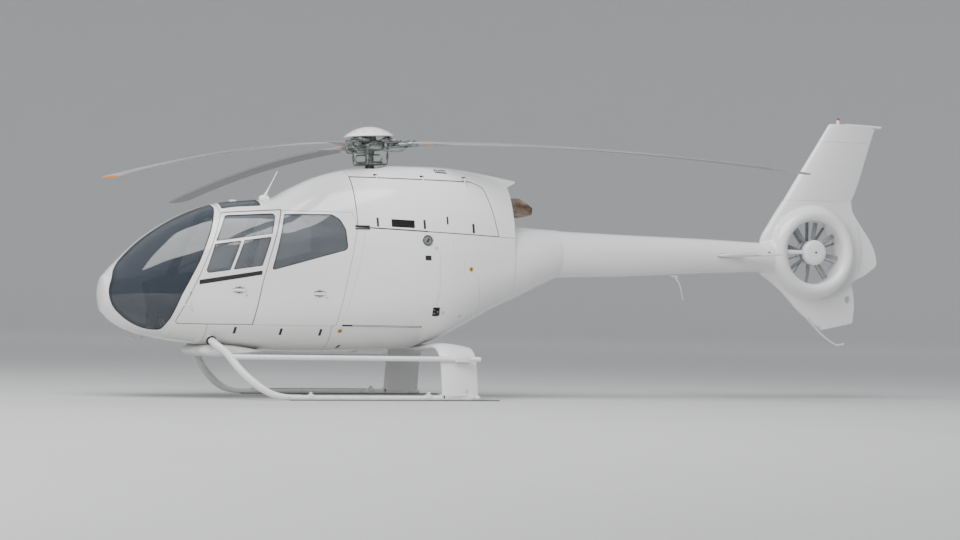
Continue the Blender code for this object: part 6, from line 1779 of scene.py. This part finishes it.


# Painted shade: the slots are not cut; thin dark patches on the skin stand for their shadowed insides.
patches("belly_slot_shades", [slot_outline(x, z, 0.014, 0.036, 0.003)
    for x, z in ((-1.696, 0.743), (-1.188, 0.733), (-0.739, 0.731))])
patches("fuselage_slot_shades", [slot_outline(-0.469, 0.575, 0.016, 0.016, 0.010),
    slot_outline(0.472, 1.570, 0.036, 0.027)], half_range(-1.0))
for side, sign in SIDES:
    limits, body = half_range(sign), f"cowl_door_{side}_body"
    patches(f"cowl_door_{side}_latches", [slot_outline(x, z, half, tall)
        for x, z, half, tall in ((-0.108, 1.954, 0.012, 0.050), (0.443, 1.943, 0.013, 0.050),
        (0.726, 1.994, 0.010, 0.044), (1.050, 1.915, 0.014, 0.052))], limits, 0.002, body)
    for number, height in enumerate((1.915, 1.933, 1.951, 1.969)):
        slat = region("slat", slot_outline(0.190, height, 0.132, 0.0025), *limits)
        band(f"air_inlet_{side}_slat_{number}", slat, None, 0.008, 0.010, body=body)
    band(f"air_inlet_{side}_screen", region("screen", AIR_INLET, *limits, -FIT_GAP), None,
        COWL_WALL - 0.003, 0.002, body=body)


def skin_line(points, sign, steps=12):
    """Places and outward directions along a line on the body's side."""
    spots = []
    for (x0, z0), (x1, z1) in zip(points, points[1:]):
        for share in np.linspace(0.0, 1.0, steps, endpoint=False):
            spots.append((x0 + (x1 - x0) * share, z0 + (z1 - z0) * share))
    spots.append(points[-1])
    placed = [on_side(x, z, sign) for x, z in spots]
    return [(place.translation, place.to_3x3() @ Vector((0.0, 1.0, 0.0))) for place in placed]


SCRIBED = (((0.615, 1.640), (0.615, 1.100)), ((0.788, 1.765), (0.788, 1.575)),
    ((0.920, 1.545), (0.920, 1.400)), ((1.095, 1.381), (1.130, 1.200), (1.170, 1.012)),
    ((0.593, 1.210), (0.593, 1.045)), ((-0.500, 0.860), (-0.330, 1.479), (-0.262, 1.840)))
for number, points in enumerate(SCRIBED):
    for side, sign in SIDES if number < 5 else SIDES[:1]:
        strip_on(f"scribed_line_{side}_{number}", skin_line(points, sign), 0.0012, 0.0002)
lower_rail = ((-0.500, 0.815), (0.425, 0.809))
strip_on("lower_slide_rail", skin_line(lower_rail, -1.0, 24), 0.012, 0.004, white_paint)
strip_on("upper_slide_rail", skin_line(((-0.200, 1.8895), (0.470, 1.8660)), -1.0, 24), 0.0045, 0.003,
    rubber)
# Painted shade: two thin dark strips on the rail stand for the shade in its grooves.
for number, (height, shift) in enumerate(((0.0045, 0.0055), (-0.0075, 0.0055))):
    groove_shade = skin_line([(x, z + height) for x, z in lower_rail], -1.0, 24)
    strip_on(f"painted_rail_groove_shade_{number}", groove_shade, 0.0022, shift, rubber)
runner = []
for x0, x1, z, half in ((-0.372, -0.205, 1.902, 0.010), (-0.372, -0.205, 1.874, 0.006),
        (-0.505, -0.390, 0.812, 0.008)):
    middle = on_side((x0 + x1) / 2.0, z, -1.0)
    piece = box("runner", (-(x1 - x0) / 2.0, -0.002, -half), ((x1 - x0) / 2.0, 0.010, half), 0.002)
    piece.data.transform(middle)
    runner.append(faced(piece))
fit(join("sliding_door_runners", runner), rubber)
stop = turned("rail_stop", ((0.0, 0.0), (0.008, 0.0), (0.007, 0.010), (0.0, 0.011)), "Y", steps=20)
stop.data.transform(on_side(0.430, 0.809, -1.0))
fit(faced(stop), rubber)


def on_skin(name, profile, place, sign, finish, steps, body="root"):
    """A turned fitting standing outwards on the body's side."""
    piece = turned(name, profile, "Y", steps=steps)
    piece.data.transform(on_side(*place, sign))
    return fit(faced(piece), finish, body=body)


FUEL_CAP = (0.471, 1.764)
LOCK_PROFILE = ((0.0, -0.001), (0.010, -0.001), (0.010, 0.001), (0.0, 0.0016))
on_skin("fuel_cap", ((0.0, -0.003), (0.066, -0.003), (0.066, 0.001), (0.064, 0.0025), (0.056, 0.0025),
    (0.054, 0.0008), (0.047, 0.0008), (0.045, 0.0035), (0.030, 0.0042), (0.0, 0.0042)), FUEL_CAP, -1.0,
    bright_metal, 56)
on_skin("fuel_cap_seal", ((0.046, -0.002), (0.055, -0.002), (0.055, 0.0018), (0.046, 0.0018)), FUEL_CAP,
    -1.0, rubber, 56)
flap = box("fuel_cap_lever", (-0.009, 0.003, -0.026), (0.009, 0.0075, 0.026), 0.0015)
flap.data.transform(on_side(*FUEL_CAP, -1.0) @ Matrix.Rotation(math.radians(35.0), 4, "Y"))
fit(faced(flap), rubber)
ring_mark = ((0.013, -0.001), (0.017, -0.001), (0.017, 0.0006), (0.013, 0.0006))
for number, place in enumerate(((0.571, 1.681), (0.680, 0.965), (0.920, 0.930))):
    on_skin(f"port_ring_{number}", ring_mark, place, -1.0, rubber, 28)
for number, place in enumerate(((1.006, 1.457), (-0.518, 0.749))):
    on_skin(f"gold_plug_{number}", ((0.0, -0.002), (0.028, -0.002), (0.028, 0.0012), (0.025, 0.0022),
        (0.0, 0.0026)), place, -1.0, gold_paint, 32)
    on_skin(f"gold_plug_screw_{number}", ((0.0, 0.002), (0.011, 0.002), (0.010, 0.0040), (0.0, 0.0042)),
        place, -1.0, rubber, 20)
for side, sign in SIDES:
    for number, place in enumerate(((-1.600, 1.120), (-2.180, 0.950))):
        on_skin(f"front_door_{side}_lock_{number}", LOCK_PROFILE, place, sign, bright_metal, 24,
            f"front_door_{side}_body")
on_skin("sliding_door_lock", LOCK_PROFILE, (-0.700, 1.110), -1.0, bright_metal, 24)
for number, place in enumerate(((0.440, 1.200), (0.440, 1.500))):
    on_skin(f"baggage_latch_{number}", ((0.0, -0.002), (0.022, -0.002), (0.022, 0.0012), (0.020, 0.002),
        (0.0, 0.002)), place, 1.0, bright_metal, 32, "baggage_door_body")
screw_spots = [(0.360, 1.815), (0.440, 1.838), (0.560, 1.815), (0.575, 0.880), (0.500, 0.880),
    (-0.440, 1.640), (-0.250, 2.000), (0.555, 1.740)]
rivets("skin_screws", [skin_line([(x, z), (x + 0.001, z)], sign, 1)[0] for x, z in screw_spots
    for side, sign in SIDES], 0.0042, bright_metal)
socket_pins = [rod("pin", [(0.5915 + x, -socket_depth + 0.001, 0.975 + z),
    (0.5915 + x, -socket_depth - 0.016, 0.975 + z)], 0.0075, (1.0, 0.85), 18)
    for x, z in ((-0.022, 0.020), (-0.022, -0.020), (0.020, 0.0))]
fit(join("ground_power_pins", socket_pins), bright_metal)
fit(box("ground_power_block", (0.552, -socket_depth - 0.006, 0.932), (0.631, -socket_depth + 0.001, 1.018),
    0.002), rubber)

# Fittings on the roof, the cowling's top and the nose: whip aerial, satellite aerial, vents, pitot tube.
# The load hook plate is a plain white plate, bonded to the belly under the mast.
whip = rod("whip", [(-1.232, 0.0, 2.200), (-1.205, 0.0, 2.262), (-1.180, 0.0, 2.310), (-1.080, 0.0, 2.510)],
    0.011, (2.2, 1.3, 0.7, 0.42), 16, 5)
foot = egg("foot", (0.062, 0.016, 0.040))
foot.data.transform(Matrix.Translation((-1.225, 0.0, 2.205)))
fit(join("whip_aerial", [whip, foot]), white_paint)
cream_plastic = Finish("cream_plastic", "white_paint", (0.72, 0.66, 0.56), 0.45)
cream_plastic.roughen(0.35, 0.2, 40.0)
fit(box("satellite_aerial", (-1.625, -0.035, top_at(-1.59, 0.0) - 0.006),
    (-1.552, 0.035, top_at(-1.59, 0.0) + 0.016), 0.007, 3), cream_plastic)
pitot = rod("pitot_tube", [(-2.560, 0.0, 0.690), (-2.590, 0.0, 0.640), (-2.620, 0.0, 0.628),
    (-2.700, 0.0, 0.640), (-2.775, 0.0, 0.652)], 0.010, (1.5, 1.2, 1.0, 0.8, 0.6), 16, 5)
fit(pitot, bright_metal)
for side, sign in SIDES:
    vent_corners = [(x, sign * y) for x, y in ((0.690, 0.180), (0.830, 0.180), (0.830, 0.255),
        (0.690, 0.255))]
    # Painted shade: a thin dark plate under the white fins stands for the shade between them; the vent is
    # not cut.
    band(f"cowl_vent_{side}", region("vent", vent_corners, 2.3, 2.9, plane="XY"), None, -0.0006, 0.004)
    fins = [box("fin", (x, sign * 0.2175 - 0.034, top_at(x, 0.2175) - 0.014),
        (x + 0.004, sign * 0.2175 + 0.034, top_at(x, 0.2175) + 0.006), 0.001)
        for x in np.arange(0.700, 0.825, 0.020)]
    fit(join(f"cowl_vent_{side}_fins", fins), white_paint)
hook_plate = box("load_hook_mounting", (-0.149, -0.119, HOOK_PLATE_HEIGHT), (0.149, 0.119, 0.600), 0.004)
cut(hook_plate, "DIFFERENCE", body_solid(-FIT_GAP))
fit(hook_plate, skid_paint, "load_hook_plate")

for tool in [cabin_space, cowl_space, *body_solids.values(), *bolt_heads.values()]:
    bpy.data.objects.remove(tool, do_unlink=True)
